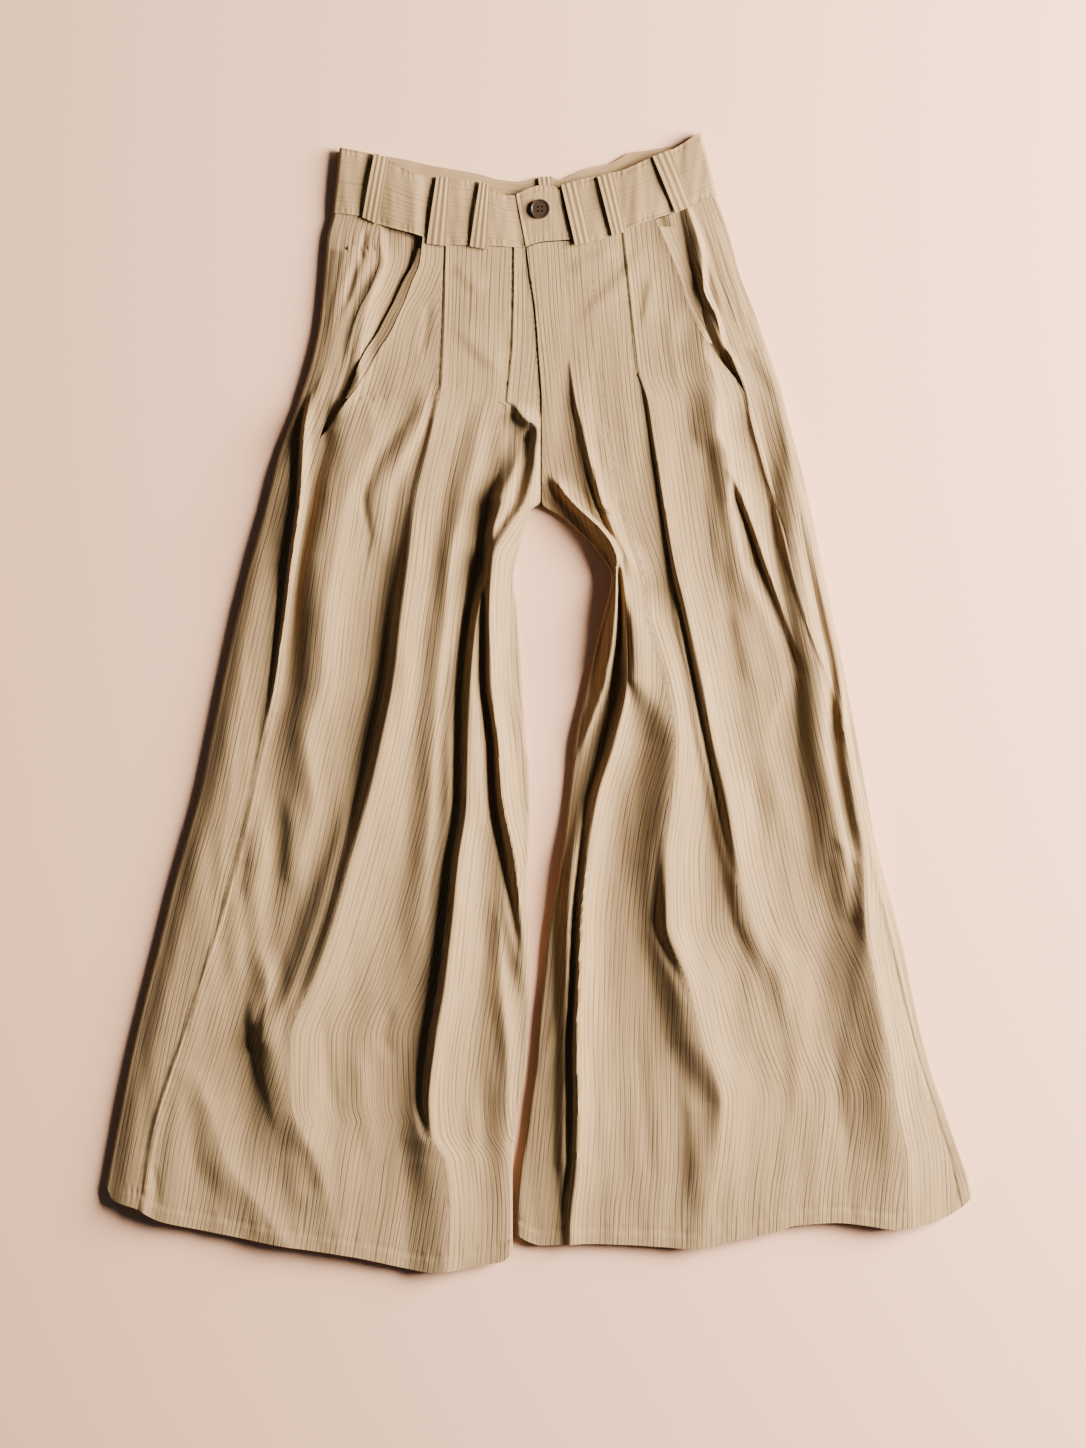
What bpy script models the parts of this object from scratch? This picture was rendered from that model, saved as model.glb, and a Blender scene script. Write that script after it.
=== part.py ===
"""Pleated wide-leg trousers laid flat, front up, with the waist towards +Y.

The tables are in millimetres on the laid garment: "across" runs to the wearer's left and "down" runs from
above the waist to the hem. ORIGIN moves them into the frame, whose floor is Z = 0.
Right and left are the wearer's, so the right leg lies at -X.
"""

import math

import bpy
import numpy as np

MM = 0.001
ORIGIN = {"across": 539.0, "down": 701.45}

# Cloth and the gaps between the pieces
CLOTH_WALL = 1.4
BAND_WALL = 3.0
STRIP_WALL = 1.2
LOOP_WALL = 1.5
SEAM_GAP = 0.3
STEEP_EASE = 0.8

# Heights above the floor
BASE_HEIGHT = 8.0
LEG_CROWN = 3.0
CROWN_START = {"down": 255.0, "fade": 150.0}
EDGE_HEIGHT = 7.6
LOWEST_TOP = 5.2
FRONT_CLEARANCE = 1.8
FLY = {"step": 1.4, "reach": 40.0, "end": 400.0, "fade": 60.0}
HIP_STEP = 2.6
POCKET_MERGE = 12.0
HIP_STEP_RATE = 4.0
STRIP_STEP = 0.8
BACK_INSET = 1.6

# Rolled edges
ROLL_WIDTH = 3.6
ROLL_END_TURN = math.radians(160)
FLAT_END_TURN = math.radians(25)
FLAT_END_WIDTH = 0.8
OUTER_EASE = 34.0
INNER_EASE = 16.0
CROTCH_DOWN = 503.0
CROTCH_FADE = 26.0

# Waistband
BAND_TOP_HEIGHT = 8.4
BAND_BACK_WALL = 2.2
TAB_STEP = 1.2
LOOP_BULGE = 1.6
LOOP_LIFT = 0.5
BAND_CROWN = 0.8

# Button
BUTTON_CENTRE = {"across": 540.0, "down": 211.0}
BUTTON_DIAMETER = 20.0
BUTTON_THICKNESS = 3.2
BUTTON_RIM = 2.4
BUTTON_DISH = 0.9
BUTTON_HOLE_DIAMETER = 2.2
BUTTON_HOLE_SPACING = 4.2

# Grid sizes
LEG_ROWS = 33
FRONT_COLUMNS = 34
ROLL_COLUMNS = 4
BACK_FLAT_COLUMNS = 7
RETURN_COLUMNS = 5
HIP_COLUMNS = 7
BAND_COLUMNS = 22
BAND_ROWS = 5
BACK_BAND_COLUMNS = 30
TAB_COLUMNS = 9
TAB_ROWS = 7
LOOP_COLUMNS = 3
LOOP_ROWS = 8
FINE_SAMPLES = 240
LINE_PASSES = 12
START_SHARE = 0.3

# How closely the rows and columns gather: weights above 1, and the widths they reach
CROTCH_ROWS = {"weight": 2.2, "below": 12.0, "reach": 34.0}
POCKET_ROWS = {"weight": 1.0, "end": 450.0, "fade": 40.0}
FOLD_COLUMNS = {"weight": 0.5, "reach": 2.0}

COLOURS = {
    "cloth": (0.40, 0.31, 0.215, 1.0),
    "button": (0.012, 0.009, 0.008, 1.0),
}

# Outlines, rows of (down, across)
OUTER_EDGE = {
    "right": (
        (149, 340), (214, 333), (240, 327), (280, 324), (320, 320), (355, 313), (404, 298), (452, 280),
        (520, 262), (560, 251), (640, 232), (720, 215), (800, 198), (880, 175), (960, 155), (1040, 135),
        (1120, 119), (1183, 107), (1230, 98),
    ),
    "left": (
        (133, 701), (196, 716), (216, 723), (248, 733), (275, 740), (301, 750), (329, 760), (384, 779),
        (423, 789), (493, 807), (537, 816), (601, 829), (658, 841), (711, 851), (792, 866), (841, 875),
        (909, 893), (947, 903), (994, 912), (1031, 920), (1072, 931), (1109, 944), (1147, 957), (1175, 967),
        (1190, 971), (1230, 978),
    ),
}
CENTRE_FRONT = ((196, 521), (249, 526), (275, 529), (307, 534), (358, 538), (406, 541), (467, 541), (503, 541))
INNER_EDGE = {
    "right": CENTRE_FRONT + (
        (512, 530), (540, 522), (579, 514), (604, 517), (641, 520), (691, 523), (741, 526), (766, 529),
        (803, 530), (850, 529), (877, 527), (910, 529), (975, 530), (1060, 527), (1105, 519), (1140, 515),
        (1170, 513), (1232, 513), (1270, 513),
    ),
    "left": CENTRE_FRONT + (
        (518, 562), (534, 580), (548, 594), (560, 603), (577, 611), (612, 604), (639, 597), (671, 590),
        (706, 582), (733, 576), (786, 570), (840, 564), (894, 555), (931, 548), (975, 544), (1019, 539),
        (1062, 536), (1097, 531), (1128, 527), (1169, 520), (1203, 517), (1250, 516),
    ),
}
SIDE_SEAM = {
    "right": (
        (214, 379), (256, 380), (288, 371), (310, 359), (340, 349), (364, 344), (400, 333), (438, 321),
        (480, 309), (520, 303), (560, 296), (600, 290), (640, 285), (680, 280), (720, 271), (760, 261),
        (860, 240), (920, 226), (1004, 197), (1037, 187), (1086, 171), (1134, 156), (1200, 146), (1230, 141),
    ),
    "left": (
        (196, 682), (210, 684), (253, 693), (275, 700), (299, 708), (321, 718), (338, 724), (360, 731),
        (394, 744), (423, 750), (451, 757), (479, 764), (503, 773), (529, 782), (607, 800), (636, 811),
        (666, 821), (706, 835), (741, 846), (784, 854), (818, 862), (862, 872), (900, 881), (950, 892),
        (1000, 902), (1041, 913), (1081, 925), (1120, 937), (1160, 950), (1230, 964),
    ),
}
POCKET_EDGE = {
    "right": (
        (226, 424), (265, 420), (282, 413), (301, 406), (319, 398), (334, 391), (351, 380), (375, 367),
        (395, 354), (415, 339), (430, 329),
    ),
    "left": (
        (205, 652), (225, 657), (251, 668), (283, 680), (301, 685), (323, 695), (340, 704), (362, 720),
        (380, 735), (386, 739),
    ),
}
POCKET_STRIP_WIDTH = {
    "right": ((250, 3.5), (275, 8), (310, 11), (340, 13), (365, 12), (384, 8), (400, 4)),
    "left": ((228, 17), (250, 16), (283, 14), (301, 14), (323, 8), (345, 4)),
}

# Waist seam and hem, rows of (across, down) from the outer edge to the centre
WAIST_SEAM = {
    "right": ((333, 214), (363, 218), (378, 225), (420, 237), (447, 246), (487, 247), (526, 249)),
    "left": (
        (717, 196), (692, 207), (673, 214), (631, 228), (612, 237), (592, 243), (571, 242), (542, 244), (526, 249),
    ),
}
HEM = {
    "right": (
        (107, 1183), (114, 1198), (139, 1207), (158, 1218), (187, 1225), (227, 1233), (272, 1242), (311, 1248),
        (350, 1254), (383, 1261), (415, 1268), (430, 1270), (457, 1268), (480, 1264), (503, 1260), (513, 1250),
    ),
    "left": (
        (971, 1190), (969, 1198), (956, 1209), (944, 1216), (928, 1222), (894, 1227), (862, 1223), (837, 1221),
        (794, 1224), (775, 1230), (731, 1239), (692, 1247), (662, 1245), (625, 1243), (584, 1242), (541, 1244),
        (528, 1240), (516, 1233),
    ),
}

# Waistband edges, rows of (across, down)
BAND_TOP = {
    "right": ((340, 149), (375, 156), (389, 162), (415, 175), (438, 179), (479, 183), (508, 197), (515, 197)),
    "left": ((701, 133), (672, 151), (652, 159), (618, 173), (602, 176), (581, 181), (560, 187)),
}
BAND_BOTTOM = {
    "right": ((333, 214), (363, 218), (378, 225), (420, 237), (447, 246), (487, 247), (525, 249)),
    "left": ((717, 196), (692, 207), (673, 214), (631, 228), (612, 237), (592, 243), (573, 242)),
}
BACK_BAND_TOP = (
    (342, 151), (400, 159), (432, 166), (477, 174), (500, 180), (519, 182), (542, 178), (553, 178), (559, 180),
    (575, 174), (591, 168), (610, 164), (631, 153), (647, 151), (676, 145), (698, 135),
)
BACK_BAND_BOTTOM = (
    (336, 213), (363, 217), (378, 223), (420, 235), (447, 244), (487, 246), (526, 248), (542, 243), (571, 241),
    (592, 241), (612, 235), (631, 226), (673, 212), (692, 205), (714, 196),
)
TAB_TOP = ((516, 196), (529, 190), (541, 187), (554, 188), (559.5, 192))
TAB_BOTTOM = ((526, 248), (534, 245), (543, 243), (558, 242), (572, 241))

# Bends of the front band's surface, rows of (across, height)
BAND_WAVES = {
    "right": ((333, 0), (352, 1.2), (368, 0), (395, 2.2), (414, 3.0), (432, 0.2), (445, 0.4), (458, 1.6), (476, 0),
              (500, 1.4), (516, 0.2), (526, 0)),
    "left": ((717, 0), (697, 1.5), (676, 0.2), (662, 2.0), (640, 2.4), (615, 0.4), (600, 1.2), (585, 0.6),
             (573, 0.2), (559, 0)),
}

# Belt loops, each corner a pair of (across, down)
BELT_LOOPS = (
    {"name": "belt_loop_right_1", "side": "right", "top": ((375, 155), (389, 161)), "bottom": ((363, 219), (378, 226))},
    {"name": "belt_loop_right_2", "side": "right", "top": ((437, 178), (451, 180)), "bottom": ((427, 245), (447, 248))},
    {"name": "belt_loop_right_3", "side": "right", "top": ((480, 183), (491, 188)), "bottom": ((470, 248), (488, 251))},
    {"name": "belt_loop_left_1", "side": "left", "top": ((561, 187), (578, 182)), "bottom": ((575, 247), (592, 244))},
    {"name": "belt_loop_left_2", "side": "left", "top": ((597, 179), (613, 174)), "bottom": ((612, 238), (626, 233))},
    {"name": "belt_loop_left_3", "side": "left", "top": ((652, 159), (670, 152)), "bottom": ((675, 215), (692, 207))},
)
BACK_LOOP = {"top": ((538, 178), (552, 177)), "bottom": ((540, 192), (553, 191))}

# Folds: west and east are the widths of the two slopes beside the crest, and each row of the crest is
# (down, across, height). The pleats lie to the wearer's right, so their west slopes are the steep ones.
FOLDS = {
    "right": {
        "hip roll": {"west": 15, "east": 12, "crest": (
            (262, 366, 1.0), (330, 338, 3.0), (385, 316, 3.6), (440, 303, 3.0), (500, 292, 0.0))},
        "side seam": {"west": 5, "east": 8, "crest": (
            (440, 318, 1.0), (480, 309, 2.6), (560, 297, 3.0), (640, 286, 3.0), (760, 262, 2.4), (920, 227, 1.8),
            (1086, 172, 1.6), (1190, 148, 1.6))},
        "side belly": {"west": 24, "east": 52, "crest": (
            (442, 342, 1.0), (530, 330, 6.0), (600, 332, 8.5), (680, 328, 8.5), (728, 314, 8.0), (796, 302, 5.0),
            (890, 300, 1.0))},
        "pocket fold": {"west": 12, "east": 26, "crest": (
            (395, 424, 1.0), (437, 405, 4.0), (458, 392, 4.0), (510, 372, 0.5))},
        "first pleat": {"west": 7, "east": 60, "crest": (
            (388, 441, 1.0), (440, 430, 4.0), (492, 419, 7.0), (530, 414, 9.0), (604, 399, 11.0), (686, 389, 12.0),
            (761, 372, 12.0), (845, 350, 14.0), (900, 331, 14.0), (943, 314, 14.0), (982, 301, 13.0),
            (1024, 288, 11.0), (1056, 281, 8.0), (1100, 282, 4.0), (1130, 286, 0.0))},
        "middle ridge": {"west": 9, "east": 30, "crest": (
            (402, 486, 0.5), (440, 476, 3.0), (505, 464, 5.0), (579, 449, 5.0), (679, 435, 5.0), (766, 428, 4.0),
            (820, 424, 2.5), (943, 424, 0.0))},
        "second pleat": {"west": 5, "east": 46, "crest": (
            (402, 510, 3.0), (441, 505, 8.0), (480, 504, 10.0), (517, 497, 11.0), (559, 486, 12.0), (604, 477, 12.0),
            (666, 468, 12.0), (728, 461, 13.0), (803, 459, 13.0), (845, 459, 14.0), (904, 452, 15.0),
            (943, 449, 15.0), (991, 443, 15.0), (1037, 436, 15.0), (1073, 427, 15.0), (1138, 423, 14.0),
            (1170, 426, 12.0), (1215, 436, 9.0), (1262, 442, 7.0))},
        "inseam roll": {"west": 5, "east": 22, "crest": (
            (450, 532, 0.0), (482, 529, 6.0), (500, 521, 8.0), (520, 510, 9.0), (542, 498, 9.0), (572, 488, 9.0),
            (604, 486, 9.0), (674, 489, 10.0), (741, 495, 10.0), (803, 505, 9.0), (840, 512, 6.0), (880, 518, 0.0))},
        "hem fold": {"west": 16, "east": 44, "crest": (
            (1060, 192, 0.0), (1100, 207, 4.0), (1131, 220, 6.0), (1167, 242, 6.0), (1205, 264, 4.0))},
    },
    "left": {
        "crotch pleat": {"west": 5, "east": 22, "crest": (
            (362, 569, 0.5), (404, 575, 4.0), (443, 585, 6.0), (481, 592, 7.0), (520, 604, 6.0), (545, 615, 4.0),
            (583, 632, 0.0))},
        "inseam roll": {"west": 5, "east": 32, "crest": (
            (540, 613, 0.0), (583, 622, 8.0), (617, 626, 9.0), (652, 628, 9.0), (684, 626, 9.0), (717, 620, 9.0),
            (743, 612, 9.0), (786, 593, 9.0), (831, 575, 10.0), (894, 569, 11.0), (956, 570, 12.0),
            (1050, 573, 12.0), (1112, 575, 12.0), (1150, 575, 11.0), (1209, 573, 7.0), (1245, 573, 5.0))},
        "knee fold": {"west": 10, "east": 52, "crest": (
            (569, 632, 1.0), (601, 641, 5.0), (650, 652, 8.0), (698, 662, 9.0), (733, 671, 9.0), (770, 674, 10.0),
            (818, 666, 12.0), (878, 662, 12.0), (934, 666, 12.0), (975, 675, 11.0), (1003, 684, 11.0),
            (1031, 697, 10.0), (1066, 715, 9.0), (1094, 720, 9.0), (1128, 719, 8.0), (1159, 716, 6.0),
            (1215, 712, 2.0))},
        "first pleat": {"west": 5, "east": 36, "crest": (
            (374, 638, 1.0), (402, 645, 4.0), (433, 651, 6.0), (487, 660, 7.0), (551, 671, 8.0), (617, 682, 8.0),
            (652, 688, 9.0), (693, 697, 10.0), (765, 713, 10.0), (832, 729, 8.0), (887, 737, 7.0), (925, 746, 5.0),
            (956, 755, 3.0), (1019, 778, 0.0))},
        "second pleat": {"west": 5, "east": 26, "crest": (
            (303, 690, 0.5), (352, 688, 2.5), (398, 701, 4.5), (431, 710, 5.0), (494, 735, 5.0), (556, 757, 5.0),
            (612, 779, 3.0), (642, 789, 0.0))},
        "side fold": {"west": 12, "east": 44, "crest": (
            (470, 778, 0.0), (497, 784, 4.0), (532, 790, 7.0), (564, 796, 8.0), (599, 803, 9.0), (658, 809, 9.0),
            (738, 820, 10.0), (805, 836, 11.0), (878, 853, 12.0), (956, 868, 12.0), (1050, 883, 11.0),
            (1144, 899, 9.0), (1215, 915, 5.0))},
        "side seam": {"west": 4, "east": 7, "crest": (
            (394, 746, 0.5), (423, 751, 1.8), (503, 773, 1.8), (607, 800, 1.8), (706, 835, 1.8), (818, 862, 1.8),
            (950, 893, 1.6), (1060, 920, 0.0))},
    },
}
TOWARDS_CENTRE = {"right": 1.0, "left": -1.0}


def clear_scene():
    for old in list(bpy.data.objects):
        bpy.data.objects.remove(old, do_unlink=True)


def read_curve(rows, at, column=1):
    """A smooth curve through the rows that never swings past them, straight beyond its ends."""
    rows = sorted(rows)
    known = np.array([row[0] for row in rows], float)
    value = np.array([row[column] for row in rows], float)
    secant = np.diff(value) / np.diff(known)
    agree = secant[1:] * secant[:-1] > 0.0
    inner_slope = np.where(agree, 2.0 / (1.0 / np.where(agree, secant[1:], 1.0)
                                         + 1.0 / np.where(agree, secant[:-1], 1.0)), 0.0)
    slope = np.concatenate([secant[:1], inner_slope, secant[-1:]])
    at = np.asarray(at, float)
    i = np.clip(np.searchsorted(known, at) - 1, 0, len(known) - 2)
    span = known[i + 1] - known[i]
    t = np.clip((at - known[i]) / span, 0.0, 1.0)
    t2 = t * t
    t3 = t2 * t
    inside = (
        (2 * t3 - 3 * t2 + 1) * value[i]
        + (t3 - 2 * t2 + t) * span * slope[i]
        + (3 * t2 - 2 * t3) * value[i + 1]
        + (t3 - t2) * span * slope[i + 1]
    )
    before = np.minimum(at - known[0], 0.0) * slope[0]
    after = np.maximum(at - known[-1], 0.0) * slope[-1]
    return inside + before + after


def ease(t):
    t = np.clip(t, 0.0, 1.0)
    return t * t * (3.0 - 2.0 * t)


def below_crotch(down):
    return ease((down - CROTCH_DOWN) / CROTCH_FADE)


def fold_profile(distance, west, east):
    """The height of a fold of 1 at a signed distance from its crest, east positive."""
    rising = ease(1.0 + distance / west)
    falling = np.clip(1.0 - distance / east, 0.0, 1.0) ** 2
    return np.where(distance < 0.0, rising, falling)


def fold_height(fold, across, down):
    crest = fold["crest"]
    lift = np.interp(down, [row[0] for row in crest], [row[2] for row in crest], left=0.0)
    distance = across - read_curve(crest, down)
    return lift * fold_profile(distance, fold["west"], fold["east"])


def top_height(side, across, down):
    """The upper surface of one leg, from its outer edge to its inner edge."""
    outer = read_curve(OUTER_EDGE[side], down)
    inner = read_curve(INNER_EDGE[side], down)
    share = np.clip((across - outer) / (inner - outer), 0.0, 1.0)
    crown = LEG_CROWN * ease((down - CROWN_START["down"]) / CROWN_START["fade"])
    height = BASE_HEIGHT + crown * np.sin(math.pi * share)
    for fold in FOLDS[side].values():
        height = height + fold_height(fold, across, down)
    if side == "left":
        near_fly = ease(1.0 - (across - inner) / FLY["reach"]) * ease(1.0 - (down - FLY["end"]) / FLY["fade"])
        height = height + FLY["step"] * near_fly
    from_outer = np.abs(across - outer) - ROLL_WIDTH
    from_inner = np.abs(across - inner) - ROLL_WIDTH
    height = EDGE_HEIGHT + (height - EDGE_HEIGHT) * ease(from_outer / OUTER_EASE)
    eased = EDGE_HEIGHT + (height - EDGE_HEIGHT) * ease(from_inner / INNER_EASE)
    height = height + (eased - height) * below_crotch(down)
    return np.maximum(height, LOWEST_TOP)


def end_row(side, rows):
    """The waist seam or the hem as rows of (share across the leg, down)."""
    found = []
    for across, down in rows:
        outer = float(read_curve(OUTER_EDGE[side], down))
        inner = float(read_curve(INNER_EDGE[side], down))
        found.append(((across - outer) / (inner - outer), float(down)))
    return found


def leg_rows(side):
    """A function that gives down for a share across the leg and a part v of the way from waist to hem."""
    waist = end_row(side, WAIST_SEAM[side])
    hem = end_row(side, HEM[side])

    def down_at(share, v):
        return (1.0 - v) * (read_curve(waist, share) + SEAM_GAP) + v * read_curve(hem, share)

    return down_at


def across_at(side, share, down):
    outer = read_curve(OUTER_EDGE[side], down)
    inner = read_curve(INNER_EDGE[side], down)
    return outer + share * (inner - outer)


def share_of_line(side, line, v, down_at):
    """Where a line that runs down the leg crosses row v, as a share across."""
    share = START_SHARE
    for _ in range(LINE_PASSES):
        down = float(down_at(share, v))
        outer = float(read_curve(OUTER_EDGE[side], down))
        inner = float(read_curve(INNER_EDGE[side], down))
        share = (float(line(down)) - outer) / (inner - outer)
    return share


def front_edge(side, down):
    """The front panel's outer boundary: the pocket's edge, then the side seam below it."""
    pocket = read_curve(POCKET_EDGE[side], down)
    seam = read_curve(SIDE_SEAM[side], down)
    pocket_end = POCKET_EDGE[side][-1][0]
    return pocket + (seam - pocket) * ease((down - pocket_end) / POCKET_MERGE)


def evenly_by_weight(weight, places, count):
    """Places so spread that each interval holds the same share of the weight."""
    steps = (weight[1:] + weight[:-1]) / 2.0 * np.diff(places)
    total = np.concatenate([[0.0], np.cumsum(steps)])
    return np.interp(np.linspace(0.0, total[-1], count), total, places)


def row_places(count, side):
    """Rows from the waist to the hem, closer together beside the pockets and round the crotch."""
    v = np.linspace(0.0, 1.0, 400)
    down = read_curve(end_row(side, WAIST_SEAM[side]), 0.9) * (1.0 - v) + HEM[side][-1][1] * v
    from_crotch = (down - CROTCH_DOWN - CROTCH_ROWS["below"]) / CROTCH_ROWS["reach"]
    weight = 1.0 + CROTCH_ROWS["weight"] * np.exp(-(from_crotch ** 2))
    weight = weight + POCKET_ROWS["weight"] * ease((POCKET_ROWS["end"] - down) / POCKET_ROWS["fade"])
    return evenly_by_weight(weight, v, count)


def fold_weight(side, across, down):
    """How closely the columns stand at a point: more round each crest."""
    weight = np.full_like(across, 1.0)
    for fold in FOLDS[side].values():
        crest = fold["crest"]
        lift = np.interp(down, [row[0] for row in crest], [row[2] for row in crest], left=0.0)
        distance = across - read_curve(crest, down) + fold["west"] / 2.0
        reach = fold["west"] + FOLD_COLUMNS["reach"]
        weight = weight + FOLD_COLUMNS["weight"] * lift * np.exp(-((distance / reach) ** 2))
    return weight


def to_frame(across, down, height):
    return np.array([(across - ORIGIN["across"]) * MM, (ORIGIN["down"] - down) * MM, height * MM])


def collection(name):
    made = bpy.data.collections.new(name)
    bpy.context.scene.collection.children.link(made)
    return made


def material(name, colour, roughness):
    made = bpy.data.materials.new(name)
    made.use_nodes = True
    shader = made.node_tree.nodes["Principled BSDF"]
    shader.inputs["Base Color"].default_value = colour
    shader.inputs["Roughness"].default_value = roughness
    shader.inputs["Metallic"].default_value = 0.0
    made.diffuse_color = colour
    return made


def inner_points(points, wall, outwards):
    """The wall's inner side: each point moved in along its normal, and straight down at the two side edges."""
    along = np.gradient(points, axis=0)
    across = np.gradient(points, axis=1)
    normal = np.cross(across, along) * outwards
    for edge in (0, -1):
        run = along[:, edge]
        run = run / np.linalg.norm(run, axis=1, keepdims=True)
        side = np.cross(run, (0.0, 0.0, 1.0))
        side = side / np.linalg.norm(side, axis=1, keepdims=True)
        normal[:, edge] -= side * np.sum(normal[:, edge] * side, axis=1, keepdims=True)
    normal = normal / np.linalg.norm(normal, axis=2, keepdims=True)
    normal[:, :, 2] += STEEP_EASE * ease(normal[:, :, 2] / 0.5)
    normal = normal / np.linalg.norm(normal, axis=2, keepdims=True)
    return points - normal * wall * MM


def cloth_shell(name, points, wall, parts, outwards=1.0):
    """A wall of cloth lofted through rows of points, with the faces of both sides and of its four edges."""
    points = np.array(points)
    rows, columns = points.shape[:2]
    inner = inner_points(points, wall, outwards)
    corners = np.concatenate([points.reshape(-1, 3), inner.reshape(-1, 3)])
    number = np.arange(rows * columns).reshape(rows, columns)
    under = number + rows * columns
    faces = []
    for r in range(rows - 1):
        for c in range(columns - 1):
            faces.append((number[r, c], number[r + 1, c], number[r + 1, c + 1], number[r, c + 1]))
            faces.append((under[r, c], under[r, c + 1], under[r + 1, c + 1], under[r + 1, c]))
    for r in range(rows - 1):
        faces.append((number[r, 0], under[r, 0], under[r + 1, 0], number[r + 1, 0]))
        faces.append((number[r, -1], number[r + 1, -1], under[r + 1, -1], under[r, -1]))
    for c in range(columns - 1):
        faces.append((number[0, c], number[0, c + 1], under[0, c + 1], under[0, c]))
        faces.append((number[-1, c], under[-1, c], under[-1, c + 1], number[-1, c + 1]))
    mesh = bpy.data.meshes.new(name)
    mesh.from_pydata(corners.tolist(), [], [[int(i) for i in face] for face in faces])
    if outwards > 0:
        mesh.flip_normals()
    mesh.validate()
    shell = bpy.data.objects.new(name, mesh)
    parts.objects.link(shell)
    mesh.materials.append(material(name + "_finish", COLOURS["cloth"], 0.9))
    mesh.shade_smooth()
    mesh.set_sharp_from_angle(angle=math.radians(50))
    return shell


def front_points(side):
    """The front panel: columns gathered round its folds, then a rolled inner edge."""
    inwards = TOWARDS_CENTRE[side]
    down_at = leg_rows(side)
    rows = []
    for v in row_places(LEG_ROWS, side):
        first = share_of_line(side, lambda down: front_edge(side, down), v, down_at)
        last = share_of_line(side, lambda down: read_curve(INNER_EDGE[side], down), v, down_at)
        down = float(down_at(1.0, v))
        rolled = float(below_crotch(down))
        roll_width = FLAT_END_WIDTH + (ROLL_WIDTH - FLAT_END_WIDTH) * rolled
        turn = FLAT_END_TURN + (ROLL_END_TURN - FLAT_END_TURN) * rolled
        fine = np.linspace(first, last, FINE_SAMPLES)
        fine_down = down_at(fine, v)
        fine_across = across_at(side, fine, fine_down)
        fine_across = fine_across + inwards * SEAM_GAP / 2.0 * np.linspace(1.0, 0.0, FINE_SAMPLES)
        weight = fold_weight(side, fine_across, fine_down)
        edge = fine_across[-1] - inwards * SEAM_GAP / 2.0
        stop = edge - inwards * roll_width
        places = np.interp(inwards * stop, inwards * fine_across, fine)
        kept = fine <= places
        kept_shares = np.append(fine[kept], places)
        kept_weight = np.append(weight[kept], weight[-1])
        shares = evenly_by_weight(kept_weight, kept_shares, FRONT_COLUMNS)
        downs = down_at(shares, v)
        acrosses = np.interp(shares, fine, fine_across)
        heights = top_height(side, acrosses, downs)
        row = [to_frame(a, d, h) for a, d, h in zip(acrosses, downs, heights)]
        half = (heights[-1] - FRONT_CLEARANCE) / 2.0
        for step in range(1, ROLL_COLUMNS + 1):
            angle = turn * step / ROLL_COLUMNS
            across = stop + inwards * roll_width * math.sin(angle)
            row.append(to_frame(across, down, heights[-1] - half * (1.0 - math.cos(angle))))
        rows.append(row)
    return rows


def back_points(side):
    """The back panel: flat on the floor, rolled round the outer edge, and back over to the side seam."""
    inwards = TOWARDS_CENTRE[side]
    down_at = leg_rows(side)
    rows = []
    for v in row_places(LEG_ROWS, side):
        row = []
        for step in range(BACK_FLAT_COLUMNS):
            share = 1.0 - step / BACK_FLAT_COLUMNS
            down = float(down_at(share, v))
            across = float(across_at(side, share, down))
            if step == 0:
                across -= inwards * (SEAM_GAP / 2.0 + BACK_INSET * float(below_crotch(down)))
            row.append(to_frame(across, down, 0.0))
        down = float(down_at(0.0, v))
        edge = float(read_curve(OUTER_EDGE[side], down))
        width = abs(float(read_curve(INNER_EDGE[side], down)) - edge)
        turn_share = ROLL_WIDTH / width
        turn_down = float(down_at(turn_share, v))
        turned = float(across_at(side, turn_share, turn_down))
        top = float(top_height(side, np.array([turned]), np.array([turn_down]))[0])
        for step in range(ROLL_COLUMNS + 1):
            angle = math.pi * step / ROLL_COLUMNS
            out = math.sin(angle)
            across = turned + (edge - turned) * out
            row_down = turn_down + (down - turn_down) * out
            row.append(to_frame(across, row_down, top / 2.0 * (1.0 - math.cos(angle))))
        seam = share_of_line(side, lambda at: read_curve(SIDE_SEAM[side], at), v, down_at)
        for part in np.linspace(0.0, 1.0, RETURN_COLUMNS + 1)[1:]:
            share = turn_share + (seam - turn_share) * part
            row_down = float(down_at(share, v))
            across = float(across_at(side, share, row_down)) - inwards * SEAM_GAP / 2.0 * part
            height = float(top_height(side, np.array([across]), np.array([row_down]))[0])
            row.append(to_frame(across, row_down, height))
        rows.append(row)
    return rows


def pocket_rows(side):
    """The leg's rows that cross the pocket's mouth, each as (row part v, share at the seam, share at the mouth)."""
    down_at = leg_rows(side)
    found = []
    for v in row_places(LEG_ROWS, side):
        seam = share_of_line(side, lambda down: read_curve(SIDE_SEAM[side], down), v, down_at)
        pocket = share_of_line(side, lambda down: read_curve(POCKET_EDGE[side], down), v, down_at)
        if float(down_at(pocket, v)) < POCKET_EDGE[side][-1][0] - 2.0:
            found.append((v, seam, pocket))
    return down_at, found


def hip_points(side):
    """The piece behind the pocket's mouth, which sinks below the front panel's edge."""
    inwards = TOWARDS_CENTRE[side]
    down_at, found = pocket_rows(side)
    rows = []
    for v, seam, pocket in found:
        part = np.linspace(0.0, 1.0, HIP_COLUMNS)
        share = seam + (pocket - seam) * part
        down = down_at(share, v)
        across = across_at(side, share, down) + inwards * SEAM_GAP * (0.5 - part)
        height = top_height(side, across, down) - HIP_STEP * ease(part * HIP_STEP_RATE)
        rows.append([to_frame(a, d, h) for a, d, h in zip(across, down, height)])
    return rows


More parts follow.
